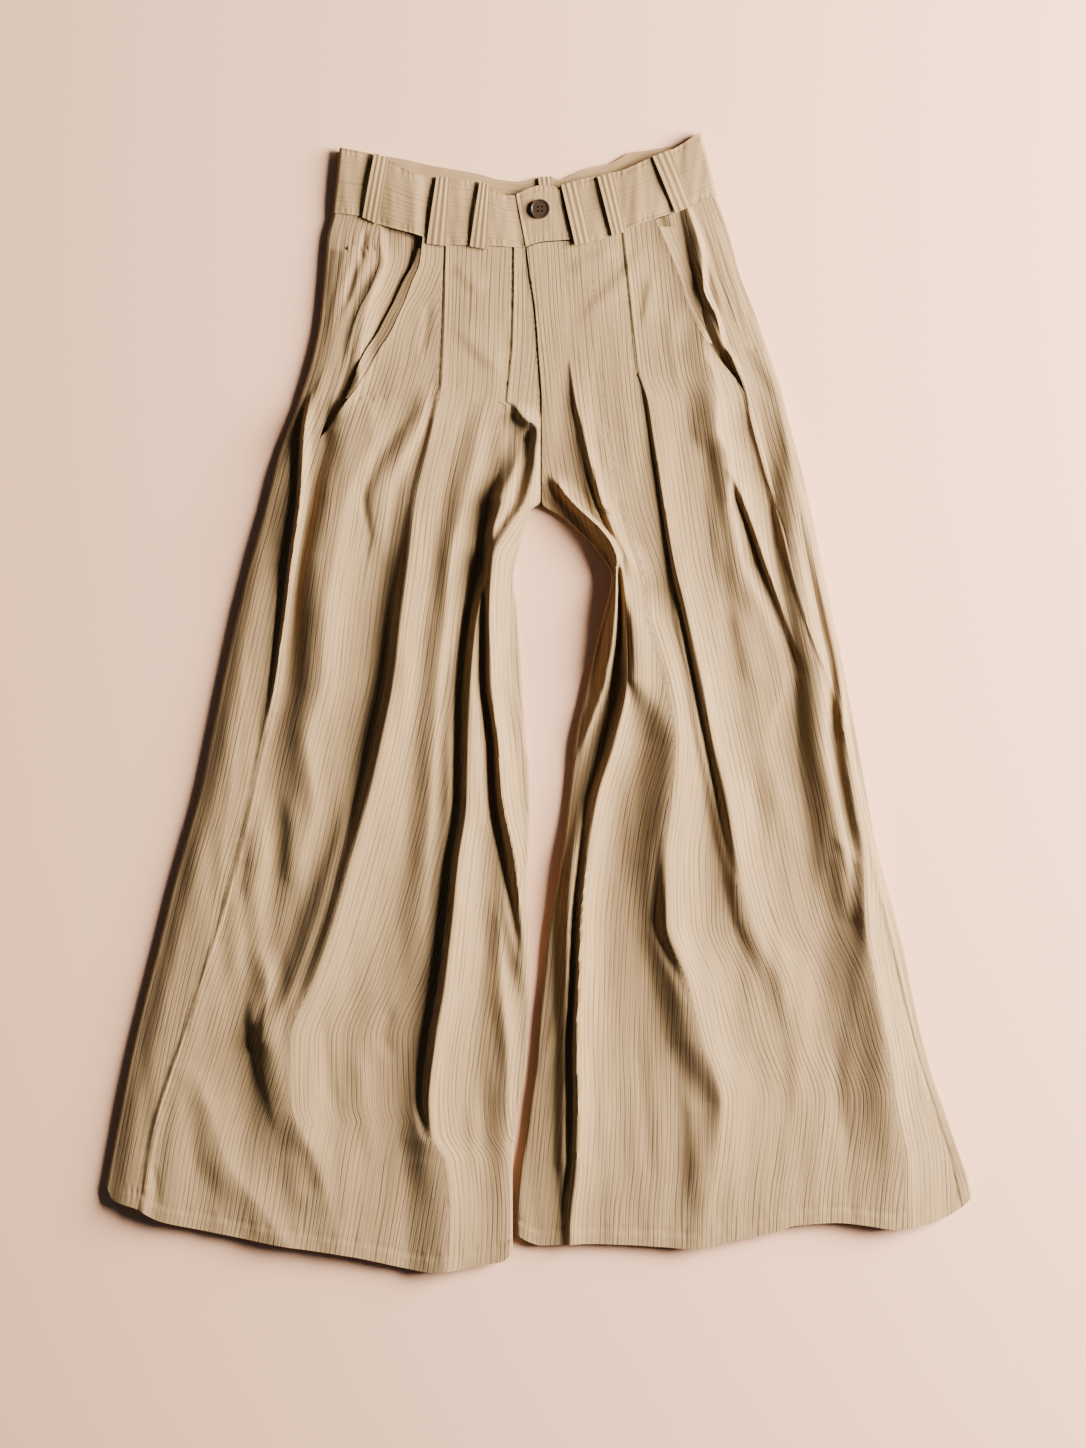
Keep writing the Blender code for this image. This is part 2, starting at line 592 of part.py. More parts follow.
def strip_points(side):
    """The turned edge that shows in the pocket's mouth, just below the front panel's edge."""
    inwards = TOWARDS_CENTRE[side]
    table = POCKET_STRIP_WIDTH[side]
    down_at, found = pocket_rows(side)
    rows = []
    for v, _, pocket in found:
        down = float(down_at(pocket, v))
        if not table[0][0] <= down <= table[-1][0]:
            continue
        mouth = float(across_at(side, pocket, down)) - inwards * SEAM_GAP / 2.0
        width = float(read_curve(table, down))
        across = mouth - inwards * width * np.array([1.0, 0.5, 0.0])
        height = top_height(side, across, np.full(3, down)) - STRIP_STEP
        rows.append([to_frame(a, down, h) for a, h in zip(across, height)])
    return rows


def band_height(side, across):
    return BAND_TOP_HEIGHT + np.interp(across, *zip(*sorted(BAND_WAVES[side])))


def band_points(side):
    """The front waistband, rolled over at the outer end."""
    inwards = TOWARDS_CENTRE[side]
    top_ends = BAND_TOP[side][0][0], BAND_TOP[side][-1][0]
    bottom_ends = BAND_BOTTOM[side][0][0], BAND_BOTTOM[side][-1][0]
    rows = []
    roll = [ROLL_END_TURN * step / ROLL_COLUMNS for step in range(ROLL_COLUMNS, 0, -1)]
    for w in np.linspace(0.0, 1.0, BAND_ROWS):
        row = []
        for angle, t in [(angle, 0.0) for angle in roll] + [(0.0, t) for t in np.linspace(0.0, 1.0, BAND_COLUMNS)]:
            inset = inwards * ROLL_WIDTH * (1.0 - t) * (1.0 - math.sin(angle))
            top_across = top_ends[0] + (top_ends[1] - top_ends[0]) * t + inset
            bottom_across = bottom_ends[0] + (bottom_ends[1] - bottom_ends[0]) * t + inset
            across = top_across + (bottom_across - top_across) * w
            top = float(read_curve(BAND_TOP[side], top_across))
            bottom = float(read_curve(BAND_BOTTOM[side], bottom_across))
            height = float(band_height(side, across)) + BAND_CROWN * math.sin(math.pi * w)
            half = (height - BAND_BACK_WALL - SEAM_GAP) / 2.0
            row.append(to_frame(across, top + (bottom - top) * w, height - half * (1.0 - math.cos(angle))))
        rows.append(row)
    return rows


def strip_between(top_rows, bottom_rows, columns, heights, w_places):
    """Rows of points between two edges that are each read across at the same part of their length."""
    rows = []
    for w in w_places:
        row = []
        for t in np.linspace(0.0, 1.0, columns):
            top_across = top_rows[0][0] + (top_rows[-1][0] - top_rows[0][0]) * t
            bottom_across = bottom_rows[0][0] + (bottom_rows[-1][0] - bottom_rows[0][0]) * t
            top = float(read_curve(top_rows, top_across))
            bottom = float(read_curve(bottom_rows, bottom_across)) - SEAM_GAP
            across = top_across + (bottom_across - top_across) * w
            row.append(to_frame(across, top + (bottom - top) * w, heights(across, w)))
        rows.append(row)
    return rows


def back_band_points():
    return strip_between(
        BACK_BAND_TOP, BACK_BAND_BOTTOM, BACK_BAND_COLUMNS, lambda across, w: BAND_BACK_WALL, (0.0, 0.5, 1.0)
    )


def tab_height(across, w):
    return BAND_TOP_HEIGHT + TAB_STEP + BAND_CROWN * math.sin(math.pi * w)


def tab_points():
    return strip_between(TAB_TOP, TAB_BOTTOM, TAB_COLUMNS, tab_height, np.linspace(0.0, 1.0, TAB_ROWS))


def loop_points(loop):
    """A belt loop: flat across, bulging a little at its middle, its ends down on the band."""
    rows = []
    for w in np.linspace(0.0, 1.0, LOOP_ROWS):
        row = []
        for t in np.linspace(0.0, 1.0, LOOP_COLUMNS):
            ends = []
            for edge in ("top", "bottom"):
                (a0, d0), (a1, d1) = loop[edge]
                ends.append((a0 + (a1 - a0) * t, d0 + (d1 - d0) * t))
            across = ends[0][0] + (ends[1][0] - ends[0][0]) * w
            down = ends[0][1] + (ends[1][1] - ends[0][1]) * w
            row.append((across, down, w))
        under = max(loop["under"](across, w) for across, _, w in row)
        height = under + SEAM_GAP + LOOP_WALL + LOOP_BULGE * math.sin(math.pi * row[0][2])
        rows.append([to_frame(across, down, height) for across, down, _ in row])
    return rows


def belt_loops(parts):
    for loop in BELT_LOOPS:
        side = loop["side"]
        carried = dict(loop)
        carried["under"] = lambda across, w: float(band_height(side, across)) + BAND_CROWN * math.sin(math.pi * w) + LOOP_LIFT
        cloth_shell(loop["name"], loop_points(carried), LOOP_WALL, parts, -1.0)
    back = dict(BACK_LOOP)
    back["under"] = lambda across, w: BAND_BACK_WALL
    cloth_shell("belt_loop_back", loop_points(back), LOOP_WALL, parts, -1.0)


def button(parts, guides):
    """A four-hole button: a turned profile with a raised rim, and holes cut through it."""
    radius = BUTTON_DIAMETER / 2.0
    base = tab_height(BUTTON_CENTRE["across"], 0.5) + SEAM_GAP
    centre = to_frame(BUTTON_CENTRE["across"], BUTTON_CENTRE["down"], base)
    profile = (
        (0.0, BUTTON_THICKNESS - BUTTON_DISH), (radius - BUTTON_RIM, BUTTON_THICKNESS - BUTTON_DISH),
        (radius - BUTTON_RIM * 0.6, BUTTON_THICKNESS), (radius - BUTTON_RIM * 0.2, BUTTON_THICKNESS - 0.1),
        (radius, BUTTON_THICKNESS * 0.6), (radius - 0.3, BUTTON_THICKNESS * 0.25), (radius - 1.4, 0.0), (0.0, 0.0),
    )
    mesh = bpy.data.meshes.new("button")
    corners = [(r * MM, 0.0, z * MM) for r, z in profile]
    mesh.from_pydata(corners, [(i, i + 1) for i in range(len(corners) - 1)], [])
    made = bpy.data.objects.new("button", mesh)
    made.location = centre
    parts.objects.link(made)
    turned = made.modifiers.new("Turned", "SCREW")
    turned.axis = "Z"
    turned.steps = 20
    turned.render_steps = 20
    turned.use_merge_vertices = True
    turned.merge_threshold = 0.00001
    spacing = BUTTON_HOLE_SPACING / 2.0 * MM
    for number, (x, y) in enumerate(((1, 1), (-1, 1), (-1, -1), (1, -1))):
        bpy.ops.mesh.primitive_cylinder_add(
            vertices=10, radius=BUTTON_HOLE_DIAMETER / 2.0 * MM, depth=4 * BUTTON_THICKNESS * MM,
            location=(centre[0] + x * spacing, centre[1] + y * spacing, centre[2]),
        )
        cutter = bpy.context.active_object
        cutter.name = f"button_hole_cutter_{number + 1}"
        cutter.hide_render = True
        cutter.display_type = "WIRE"
        for old in list(cutter.users_collection):
            old.objects.unlink(cutter)
        guides.objects.link(cutter)
        cut = made.modifiers.new(f"Hole {number + 1}", "BOOLEAN")
        cut.operation = "DIFFERENCE"
        cut.object = cutter
    mesh.materials.append(material("button_finish", COLOURS["button"], 0.25))
    return made


def main():
    clear_scene()
    parts = collection("pleated_trousers")
    guides = collection("cutters")
    for side in ("right", "left"):
        outwards = TOWARDS_CENTRE[side]
        cloth_shell(f"front_{side}", front_points(side), CLOTH_WALL, parts, -outwards)
        cloth_shell(f"back_{side}", back_points(side), CLOTH_WALL, parts, -outwards)
        cloth_shell(f"hip_{side}", hip_points(side), CLOTH_WALL, parts, -outwards)
        cloth_shell(f"pocket_edge_{side}", strip_points(side), STRIP_WALL, parts, -outwards)
        cloth_shell(f"waistband_front_{side}", band_points(side), BAND_WALL, parts, -outwards)
    cloth_shell("waistband_back", back_band_points(), BAND_BACK_WALL, parts, -1.0)
    cloth_shell("waistband_tab", tab_points(), BAND_WALL, parts, -1.0)
    belt_loops(parts)
    button(parts, guides)


main()
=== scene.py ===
"""Looks of the pleated trousers: every cloth piece as a creased shell on its solid's form, with its ribs.

Tables are in millimetres on the laid garment, as in the part: "across" runs to the wearer's left and "down"
runs from above the waist to the hem. ORIGIN moves them into the frame. Right and left are the wearer's.
"""

import math

import bpy
import numpy as np
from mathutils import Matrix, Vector


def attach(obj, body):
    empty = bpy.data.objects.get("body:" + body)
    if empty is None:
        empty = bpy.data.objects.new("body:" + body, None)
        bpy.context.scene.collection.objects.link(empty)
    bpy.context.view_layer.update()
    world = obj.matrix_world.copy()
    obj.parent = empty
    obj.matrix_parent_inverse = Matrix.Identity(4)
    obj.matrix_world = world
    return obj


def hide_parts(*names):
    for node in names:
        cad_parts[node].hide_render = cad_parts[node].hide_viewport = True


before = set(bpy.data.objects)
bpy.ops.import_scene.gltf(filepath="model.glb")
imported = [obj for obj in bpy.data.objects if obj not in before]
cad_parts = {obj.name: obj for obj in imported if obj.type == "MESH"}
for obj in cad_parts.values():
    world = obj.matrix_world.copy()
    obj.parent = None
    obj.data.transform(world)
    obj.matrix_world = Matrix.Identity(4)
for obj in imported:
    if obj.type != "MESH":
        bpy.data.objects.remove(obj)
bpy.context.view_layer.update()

MM = 0.001
ORIGIN = {"across": 539.0, "down": 701.45}
SEED = 7

# Cloth walls and gaps
CLOTH_WALL = 1.2
BAND_WALL = 2.8
STRIP_WALL = 1.0
LOOP_WALL = 1.5
SEAM_GAP = 0.3
STEEP_EASE = 0.8

# Heights above the floor
BASE_HEIGHT = 8.0
LEG_CROWN = 4.0
CROWN_START = {"down": 255.0, "fade": 150.0}
EDGE_HEIGHT = 7.6
LOWEST_TOP = 3.3
FRONT_CLEARANCE = 1.8
FLY = {"step": 1.4, "reach": 40.0, "end": 400.0, "fade": 60.0}
HIP_STEP = 2.6
HIP_STEP_RATE = 4.0
POCKET_MERGE = 12.0
STRIP_STEP = 0.6

# Rolled edges
ROLL_WIDTH = 3.6
ROLL_END_TURN = math.radians(160)
FLAT_END_TURN = math.radians(25)
FLAT_END_WIDTH = 0.8
CROTCH_DOWN = 503.0
CROTCH_FADE = 26.0
BACK_INSET = 1.6

# Waistband
BAND_TOP_HEIGHT = 8.4
BAND_BACK_WALL = 2.2
BAND_CROWN = 0.8
TAB_STEP = 1.2
LOOP_BULGE = 1.6
LOOP_LIFT = 0.5

# The waistband's depths, the tab's sides, and the line of sewing inside an edge
BAND_DEPTH = 62.0
BACK_BAND_DEPTH = 66.0
TAB_DEPTH = 54.0
TAB_WIDTH = 46.0
LOOP_SIZE = {"width": 15.0, "length": 70.0}
EDGE_SEWING = {"inset": 3.2, "width": 1.0, "depth": 0.45}
HEM_TURN = 15.0

# Grids of the small pieces: rows and columns
BAND_GRID = (46, 170)
BACK_BAND_GRID = (30, 240)
TAB_GRID = (50, 50)
LOOP_GRID = (60, 17)

# Small uneven waves of the cloth: how many there are, and each one's height for its width
CRINKLE = {"waves": 26, "steepness": 0.0028}

# Grid sizes
LEG_ROWS = 330
FRONT_COLUMNS = 128
ROLL_COLUMNS = 8
BACK_FLAT_COLUMNS = 6
RETURN_COLUMNS = 44
HIP_COLUMNS = 40
HIP_ROWS = 120
FINE_SAMPLES = 300
LINE_PASSES = 14
START_SHARE = 0.3
FOLD_COLUMNS = {"weight": 3.2, "reach": 2.5}

# Outlines, rows of (down, across)
OUTER_EDGE = {
    "right": (
        (149, 340), (214, 333), (240, 327), (280, 324), (320, 320), (355, 313), (404, 298), (452, 280),
        (520, 262), (560, 251), (640, 232), (720, 215), (800, 198), (880, 175), (960, 155), (1040, 135),
        (1120, 119), (1183, 107), (1230, 98),
    ),
    "left": (
        (133, 701), (196, 716), (216, 723), (248, 733), (275, 740), (301, 750), (329, 760), (384, 779),
        (423, 789), (493, 807), (537, 816), (601, 829), (658, 841), (711, 851), (792, 866), (841, 875),
        (909, 893), (947, 903), (994, 912), (1031, 920), (1072, 931), (1109, 944), (1147, 957), (1175, 967),
        (1190, 971), (1230, 978),
    ),
}
CENTRE_FRONT = ((196, 521), (249, 526), (275, 529), (307, 534), (358, 538), (406, 541), (467, 541),
                (503, 541))
INNER_EDGE = {
    "right": CENTRE_FRONT + (
        (512, 530), (540, 522), (579, 514), (604, 517), (641, 520), (691, 523), (741, 526), (766, 529),
        (803, 530), (850, 529), (877, 527), (910, 529), (975, 530), (1060, 527), (1105, 519), (1140, 515),
        (1170, 513), (1232, 513), (1270, 513),
    ),
    "left": CENTRE_FRONT + (
        (518, 562), (534, 580), (548, 594), (560, 603), (577, 611), (612, 604), (639, 597), (671, 590),
        (706, 582), (733, 576), (786, 570), (840, 564), (894, 555), (931, 548), (975, 544), (1019, 539),
        (1062, 536), (1097, 531), (1128, 527), (1169, 520), (1203, 517), (1250, 516),
    ),
}
SIDE_SEAM = {
    "right": (
        (214, 379), (256, 380), (288, 371), (310, 359), (340, 349), (364, 344), (400, 333), (438, 321),
        (480, 309), (520, 303), (560, 296), (600, 290), (640, 285), (680, 280), (720, 271), (760, 261),
        (860, 240), (920, 226), (1004, 197), (1037, 187), (1086, 171), (1134, 156), (1200, 146), (1230, 141),
    ),
    "left": (
        (196, 682), (210, 684), (253, 693), (275, 700), (299, 708), (321, 718), (338, 724), (360, 731),
        (394, 744), (423, 750), (451, 757), (479, 764), (503, 773), (529, 782), (607, 800), (636, 811),
        (666, 821), (706, 835), (741, 846), (784, 854), (818, 862), (862, 872), (900, 881), (950, 892),
        (1000, 902), (1041, 913), (1081, 925), (1120, 937), (1160, 950), (1230, 964),
    ),
}
POCKET_EDGE = {
    "right": (
        (226, 424), (265, 420), (282, 413), (301, 406), (319, 398), (334, 391), (351, 380), (375, 367),
        (395, 354), (415, 339), (430, 329),
    ),
    "left": (
        (205, 652), (225, 657), (251, 668), (283, 680), (301, 685), (323, 695), (340, 704), (362, 720),
        (380, 735), (386, 739),
    ),
}
POCKET_STRIP_WIDTH = {
    "right": ((250, 3.5), (275, 8), (310, 11), (340, 13), (365, 12), (384, 8), (400, 4)),
    "left": ((228, 17), (250, 16), (283, 14), (301, 14), (323, 8), (345, 4)),
}

# Waist seam and hem, rows of (across, down) from the outer edge to the centre
WAIST_SEAM = {
    "right": ((333, 214), (363, 218), (378, 225), (420, 237), (447, 246), (487, 247), (526, 249)),
    "left": (
        (717, 196), (692, 207), (673, 214), (631, 228), (612, 237), (592, 243), (571, 242), (542, 244),
        (526, 249),
    ),
}
HEM = {
    "right": (
        (107, 1183), (114, 1198), (139, 1207), (158, 1218), (187, 1225), (227, 1233), (272, 1242),
        (311, 1248),
        (350, 1254), (383, 1261), (415, 1268), (430, 1270), (457, 1268), (480, 1264), (503, 1260),
        (513, 1250),
    ),
    "left": (
        (971, 1190), (969, 1198), (956, 1209), (944, 1216), (928, 1222), (894, 1227), (862, 1223),
        (837, 1221),
        (794, 1224), (775, 1230), (731, 1239), (692, 1247), (662, 1245), (625, 1243), (584, 1242),
        (541, 1244),
        (528, 1240), (516, 1233),
    ),
}

# Waistband edges, rows of (across, down)
BAND_TOP = {
    "right": ((340, 149), (375, 156), (389, 162), (415, 175), (438, 179), (479, 183), (508, 197), (515, 197)),
    "left": ((701, 133), (672, 151), (652, 159), (618, 173), (602, 176), (581, 181), (560, 187)),
}
BAND_BOTTOM = {
    "right": ((333, 214), (363, 218), (378, 225), (420, 237), (447, 246), (487, 247), (525, 249)),
    "left": ((717, 196), (692, 207), (673, 214), (631, 228), (612, 237), (592, 243), (573, 242)),
}
BACK_BAND_TOP = (
    (342, 151), (400, 159), (432, 166), (477, 174), (500, 180), (519, 182), (542, 178), (553, 178),
    (559, 180),
    (575, 174), (591, 168), (610, 164), (631, 153), (647, 151), (676, 145), (698, 135),
)
BACK_BAND_BOTTOM = (
    (336, 213), (363, 217), (378, 223), (420, 235), (447, 244), (487, 246), (526, 248), (542, 243),
    (571, 241),
    (592, 241), (612, 235), (631, 226), (673, 212), (692, 205), (714, 196),
)
TAB_TOP = ((516, 196), (529, 190), (541, 187), (554, 188), (559.5, 192))
TAB_BOTTOM = ((526, 248), (534, 245), (543, 243), (558, 242), (572, 241))

# Bends of the front band's surface, rows of (across, height)
BAND_WAVES = {
    "right": ((333, 0), (352, 1.2), (368, 0), (395, 2.2), (414, 3.0), (432, 0.2), (445, 0.4), (458, 1.6),
              (476, 0),
              (500, 1.4), (516, 0.2), (526, 0)),
    "left": ((717, 0), (697, 1.5), (676, 0.2), (662, 2.0), (640, 2.4), (615, 0.4), (600, 1.2), (585, 0.6),
             (573, 0.2), (559, 0)),
}

# Belt loops, each corner a pair of (across, down)
BELT_LOOPS = (
    {"name": "belt_loop_right_1", "side": "right", "top": ((375, 155), (389, 161)), "bottom": ((363, 219),
    (378, 226))},
    {"name": "belt_loop_right_2", "side": "right", "top": ((437, 178), (451, 180)), "bottom": ((427, 245),
    (447, 248))},
    {"name": "belt_loop_right_3", "side": "right", "top": ((480, 183), (491, 188)), "bottom": ((470, 248),
    (488, 251))},
    {"name": "belt_loop_left_1", "side": "left", "top": ((561, 187), (578, 182)), "bottom": ((575, 247),
    (592, 244))},
    {"name": "belt_loop_left_2", "side": "left", "top": ((597, 179), (613, 174)), "bottom": ((612, 238),
    (626, 233))},
    {"name": "belt_loop_left_3", "side": "left", "top": ((652, 159), (670, 152)), "bottom": ((675, 215),
    (692, 207))},
)
BACK_LOOP = {"top": ((538, 178), (552, 177)), "bottom": ((540, 192), (553, 191))}

# Folds: each row of a crest is (down, across, height, reach, core). The surface rises from the west over the
# reach, steepest at the core's part of it, and falls east of the crest over the width "east". Each row of a
# gap is (down, depth, width): the hollow that lies just west of the steep side.
FOLDS = {
    "right": {
        "outer puff": {"east": 70, "crest": (
            (250, 352, 3, 27, 0.3), (320, 342, 3, 22, 0.3), (380, 322, 3, 16, 0.3), (420, 312, 2, 12, 0.3),
            (500, 270, 3, 9, 0.3), (560, 262, 4, 12, 0.3), (620, 248, 5, 14, 0.3), (740, 238, 6, 28, 0.25),
            (860, 222, 6, 42, 0.2), (980, 205, 6, 56, 0.18), (1100, 180, 6, 60, 0.16),
            (1190, 165, 5, 58, 0.16))},
        "hip fold": {"east": 16, "crest": (
            (236, 380, 0, 8, 0.5), (262, 385, 3, 10, 0.6), (290, 375, 6, 17, 0.6), (320, 366, 6.5, 18, 0.5),
            (350, 361, 6, 18, 0.4), (380, 360, 5, 22, 0.5), (405, 348, 4, 22, 0.4), (425, 337, 0, 16, 0.4))},
        "seam ridge": {"east": 9,
                 "gap": ((400, 1, 5), (430, 7, 6), (500, 8, 6), (580, 7, 6), (640, 5, 5), (690, 3, 4),
                         (720, 0, 4)),
                 "crest": (
            (390, 314, 0, 12, 0.7), (412, 309, 7, 16, 0.75), (430, 306, 10, 20, 0.8),
            (500, 302, 12, 30, 0.72),
            (560, 294, 12, 30, 0.75), (620, 286, 9, 24, 0.7), (680, 277, 6, 14, 0.6), (740, 266, 2.5, 8, 0.5),
            (860, 240, 1.6, 5, 0.5), (1004, 197, 1.4, 5, 0.5), (1134, 156, 2.2, 6, 0.5),
            (1200, 147, 2.4, 7, 0.5))},
        "side belly": {"east": 56, "crest": (
            (400, 366, 3, 30, 0.3), (430, 374, 8, 50, 0.15), (500, 347, 11, 36, 0.3),
            (560, 336, 13, 38, 0.25),
            (620, 327, 15, 35, 0.4), (680, 324, 13, 36, 0.4), (740, 309, 11, 33, 0.5), (800, 315, 9, 42, 0.5),
            (860, 304, 7, 34, 0.5), (915, 300, 0, 30, 0.5))},
        "pocket fold": {"east": 26, "crest": (
            (385, 432, 0, 20, 0.5), (410, 425, 6, 30, 0.6), (430, 419, 8, 36, 0.55), (460, 402, 7, 26, 0.5),
            (500, 386, 5, 22, 0.3), (540, 384, 3, 20, 0.3), (570, 386, 0, 18, 0.3))},
        "first pleat": {"east": 62,
                 "gap": ((420, 1, 4), (560, 3, 8), (650, 7, 8), (740, 8, 8), (820, 6, 9), (940, 5, 9),
                         (1010, 2, 9), (1060, 0, 9)),
                 "crest": (
            (388, 441, 1, 5, 0.6), (430, 433, 5, 9, 0.6), (500, 417, 8, 26, 0.6), (560, 410, 14, 28, 0.62),
            (620, 402, 17, 32, 0.68), (680, 395, 18, 26, 0.62), (740, 383, 18, 26, 0.6),
            (800, 369, 18, 38, 0.7),
            (860, 353, 18, 40, 0.55), (920, 336, 18, 46, 0.5), (980, 315, 16, 40, 0.42),
            (1040, 293, 14, 44, 0.3),
            (1100, 294, 11, 44, 0.5), (1160, 318, 8, 60, 0.5), (1215, 335, 3, 60, 0.5))},
        "middle ridge": {"east": 30, "crest": (
            (402, 486, 1, 14, 0.5), (440, 479, 5, 26, 0.55), (500, 466, 8, 28, 0.55), (560, 452, 10, 24, 0.6),
            (620, 447, 10, 26, 0.55), (680, 440, 9, 28, 0.55), (740, 436, 9, 30, 0.55),
            (800, 432, 8, 30, 0.55),
            (860, 428, 8, 30, 0.55), (920, 424, 5, 30, 0.5), (985, 423, 0, 30, 0.5))},
        "second pleat": {"east": 44,
                 "gap": ((480, 0, 6), (520, 8, 7), (580, 12, 8), (680, 13, 8), (740, 13, 8), (860, 13, 8),
                         (960, 12, 8), (1060, 10, 8), (1110, 7, 7), (1140, 0, 6)),
                 "crest": (
            (425, 505, 0, 20, 0.6), (470, 503, 4, 20, 0.6), (500, 501, 11, 36, 0.75),
            (530, 494, 15, 38, 0.75),
            (560, 490, 17, 40, 0.78), (620, 477, 15, 30, 0.75), (680, 471, 17, 28, 0.6),
            (740, 468, 18, 30, 0.5),
            (800, 467, 19, 30, 0.52), (860, 459, 19, 26, 0.58), (920, 453, 19, 26, 0.6),
            (980, 446, 19, 30, 0.65),
            (1040, 436, 18, 34, 0.7), (1100, 430, 16, 34, 0.65), (1130, 433, 14, 36, 0.5),
            (1160, 448, 12, 46, 0.35),
            (1210, 452, 9, 48, 0.45), (1262, 450, 7, 44, 0.5))},
        "inseam roll": {"east": 26,
                 "gap": ((425, 2, 5), (440, 9, 9), (500, 11, 10), (540, 7, 8), (600, 9, 5), (680, 14, 6),
                         (740, 14, 6), (820, 12, 8), (880, 8, 8), (930, 4, 6), (960, 0, 5)),
                 "crest": (
            (404, 514, 2, 5, 0.6), (418, 524, 8, 14, 0.6), (430, 538, 13, 28, 0.6), (460, 536, 17, 36, 0.45),
            (500, 527, 17, 38, 0.2), (530, 509, 14, 26, 0.4), (560, 494, 12, 14, 0.6),
            (620, 490, 15, 13, 0.5),
            (680, 491, 17, 17, 0.55), (740, 498, 17, 20, 0.6), (800, 503, 16, 28, 0.72),
            (860, 515, 15, 36, 0.72),
            (920, 522, 13, 34, 0.55), (965, 526, 7, 22, 0.5), (1000, 527, 0, 12, 0.5))},
        "inner low ridge": {"east": 16, "crest": (
            (880, 496, 0, 16, 0.5), (940, 500, 5, 20, 0.5), (980, 502, 6, 24, 0.4), (1040, 508, 8, 32, 0.55),
            (1100, 509, 8, 33, 0.6), (1160, 511, 5, 34, 0.5), (1215, 512, 3, 34, 0.5))},
        "knee dimple": {"east": 20, "crest": (
            (790, 266, 0, 20, 0.5), (820, 264, 3, 22, 0.5), (860, 266, 5, 22, 0.4), (900, 260, 2.5, 18, 0.4),
            (940, 262, 2, 18, 0.4), (980, 270, 7, 27, 0.5), (1020, 266, 6, 22, 0.3),
            (1050, 262, 0, 14, 0.3))},
        "hem fold": {"east": 40, "crest": (
            (1060, 192, 0, 20, 0.5), (1100, 209, 4, 26, 0.5), (1160, 229, 5, 36, 0.4),
            (1205, 262, 4, 44, 0.5))},
    },
    "left": {
        "crotch pleat": {"east": 22,
                 "gap": ((440, 0, 3), (480, 7, 4), (510, 8, 4), (540, 0, 4)),
                 "crest": (
            (362, 570, 0.5, 4, 0.5), (404, 576, 4, 6, 0.6), (430, 583, 5, 8, 0.6), (460, 589, 8, 14, 0.6),
            (500, 600, 11, 16, 0.5), (530, 612, 9, 14, 0.5), (560, 628, 7, 14, 0.5), (585, 634, 0, 12, 0.5))},
        "crotch crest": {"east": 8, "crest": (
            (474, 549, 0, 6, 0.6), (488, 560, 9, 14, 0.7), (500, 569, 14, 27, 0.85), (516, 585, 15, 24, 0.75),
            (530, 600, 15, 26, 0.7), (545, 611, 15, 26, 0.7), (560, 616, 14, 22, 0.85),
            (620, 615, 13, 20, 0.6),
            (680, 606, 11, 20, 0.6), (720, 593, 7, 14, 0.6), (750, 582, 2, 8, 0.5), (775, 576, 0, 6, 0.5))},
        "inseam roll": {"east": 34,
                 "gap": ((570, 4, 2.5), (620, 12, 4), (680, 14, 6), (740, 9, 7), (830, 6, 6),
                         (900, 12, 5), (1000, 13, 5), (1120, 12, 6), (1180, 8, 6), (1220, 0, 6)),
                 "crest": (
            (540, 615, 0, 6, 0.5), (575, 622, 10, 6, 0.5), (620, 625, 15, 8, 0.5), (680, 626, 18, 16, 0.7),
            (740, 614, 17, 36, 0.8), (800, 596, 15, 32, 0.72), (860, 586, 15, 30, 0.4),
            (920, 580, 17, 28, 0.45),
            (980, 578, 18, 26, 0.5), (1040, 576, 18, 22, 0.5), (1100, 577, 18, 26, 0.5),
            (1160, 576, 15, 24, 0.45),
            (1210, 572, 8, 12, 0.5), (1245, 571, 5, 10, 0.5))},
        "knee fold": {"east": 50,
                 "gap": ((830, 0, 8), (900, 5, 8), (960, 4, 8), (1000, 0, 8)),
                 "crest": (
            (590, 640, 0, 20, 0.2), (620, 651, 9, 25, 0.12), (650, 660, 13, 33, 0.12),
            (680, 668, 15, 41, 0.1),
            (710, 674, 16, 47, 0.35), (740, 677, 17, 52, 0.6), (800, 672, 19, 54, 0.62),
            (860, 665, 19, 48, 0.62),
            (920, 666, 17, 32, 0.62), (980, 688, 16, 40, 0.45), (1040, 703, 13, 40, 0.4),
            (1100, 721, 10, 46, 0.75),
            (1160, 716, 8, 40, 0.55), (1215, 706, 3, 34, 0.5))},
        "first pleat": {"east": 40,
                 "gap": ((374, 1, 1.5), (420, 2, 1.6), (540, 4, 2), (620, 8, 4), (700, 9, 5), (780, 7, 6),
                         (840, 4, 6), (880, 0, 6)),
                 "crest": (
            (374, 638, 1, 4, 0.5), (402, 647, 4, 4, 0.5), (430, 651, 3.5, 4, 0.5), (487, 660, 5, 4, 0.5),
            (560, 672, 7, 5, 0.5), (620, 686, 11, 14, 0.5), (680, 699, 12, 15, 0.5), (740, 711, 13, 19, 0.45),
            (800, 725, 13, 23, 0.5), (860, 736, 10, 19, 0.45), (920, 752, 7, 22, 0.3), (980, 778, 4, 24, 0.5),
            (1030, 790, 0, 24, 0.5))},
        "middle pleat": {"east": 22, "crest": (
            (318, 704, 0, 20, 0.4), (352, 704, 6, 30, 0.5), (380, 714, 6, 36, 0.5), (410, 716, 9, 34, 0.55),
            (430, 716, 10, 30, 0.5), (460, 727, 9, 26, 0.4), (500, 728, 9, 25, 0.5), (560, 739, 7, 28, 0.4),
            (620, 766, 5, 40, 0.5), (680, 782, 4, 48, 0.4), (740, 766, 2.5, 30, 0.4),
            (800, 782, 2.5, 30, 0.4),
            (850, 792, 0, 30, 0.4))},
        "second pleat": {"east": 26,
                 "gap": ((480, 0, 3), (500, 6, 4), (560, 7, 3), (610, 2, 3), (630, 0, 3)),
                 "crest": (
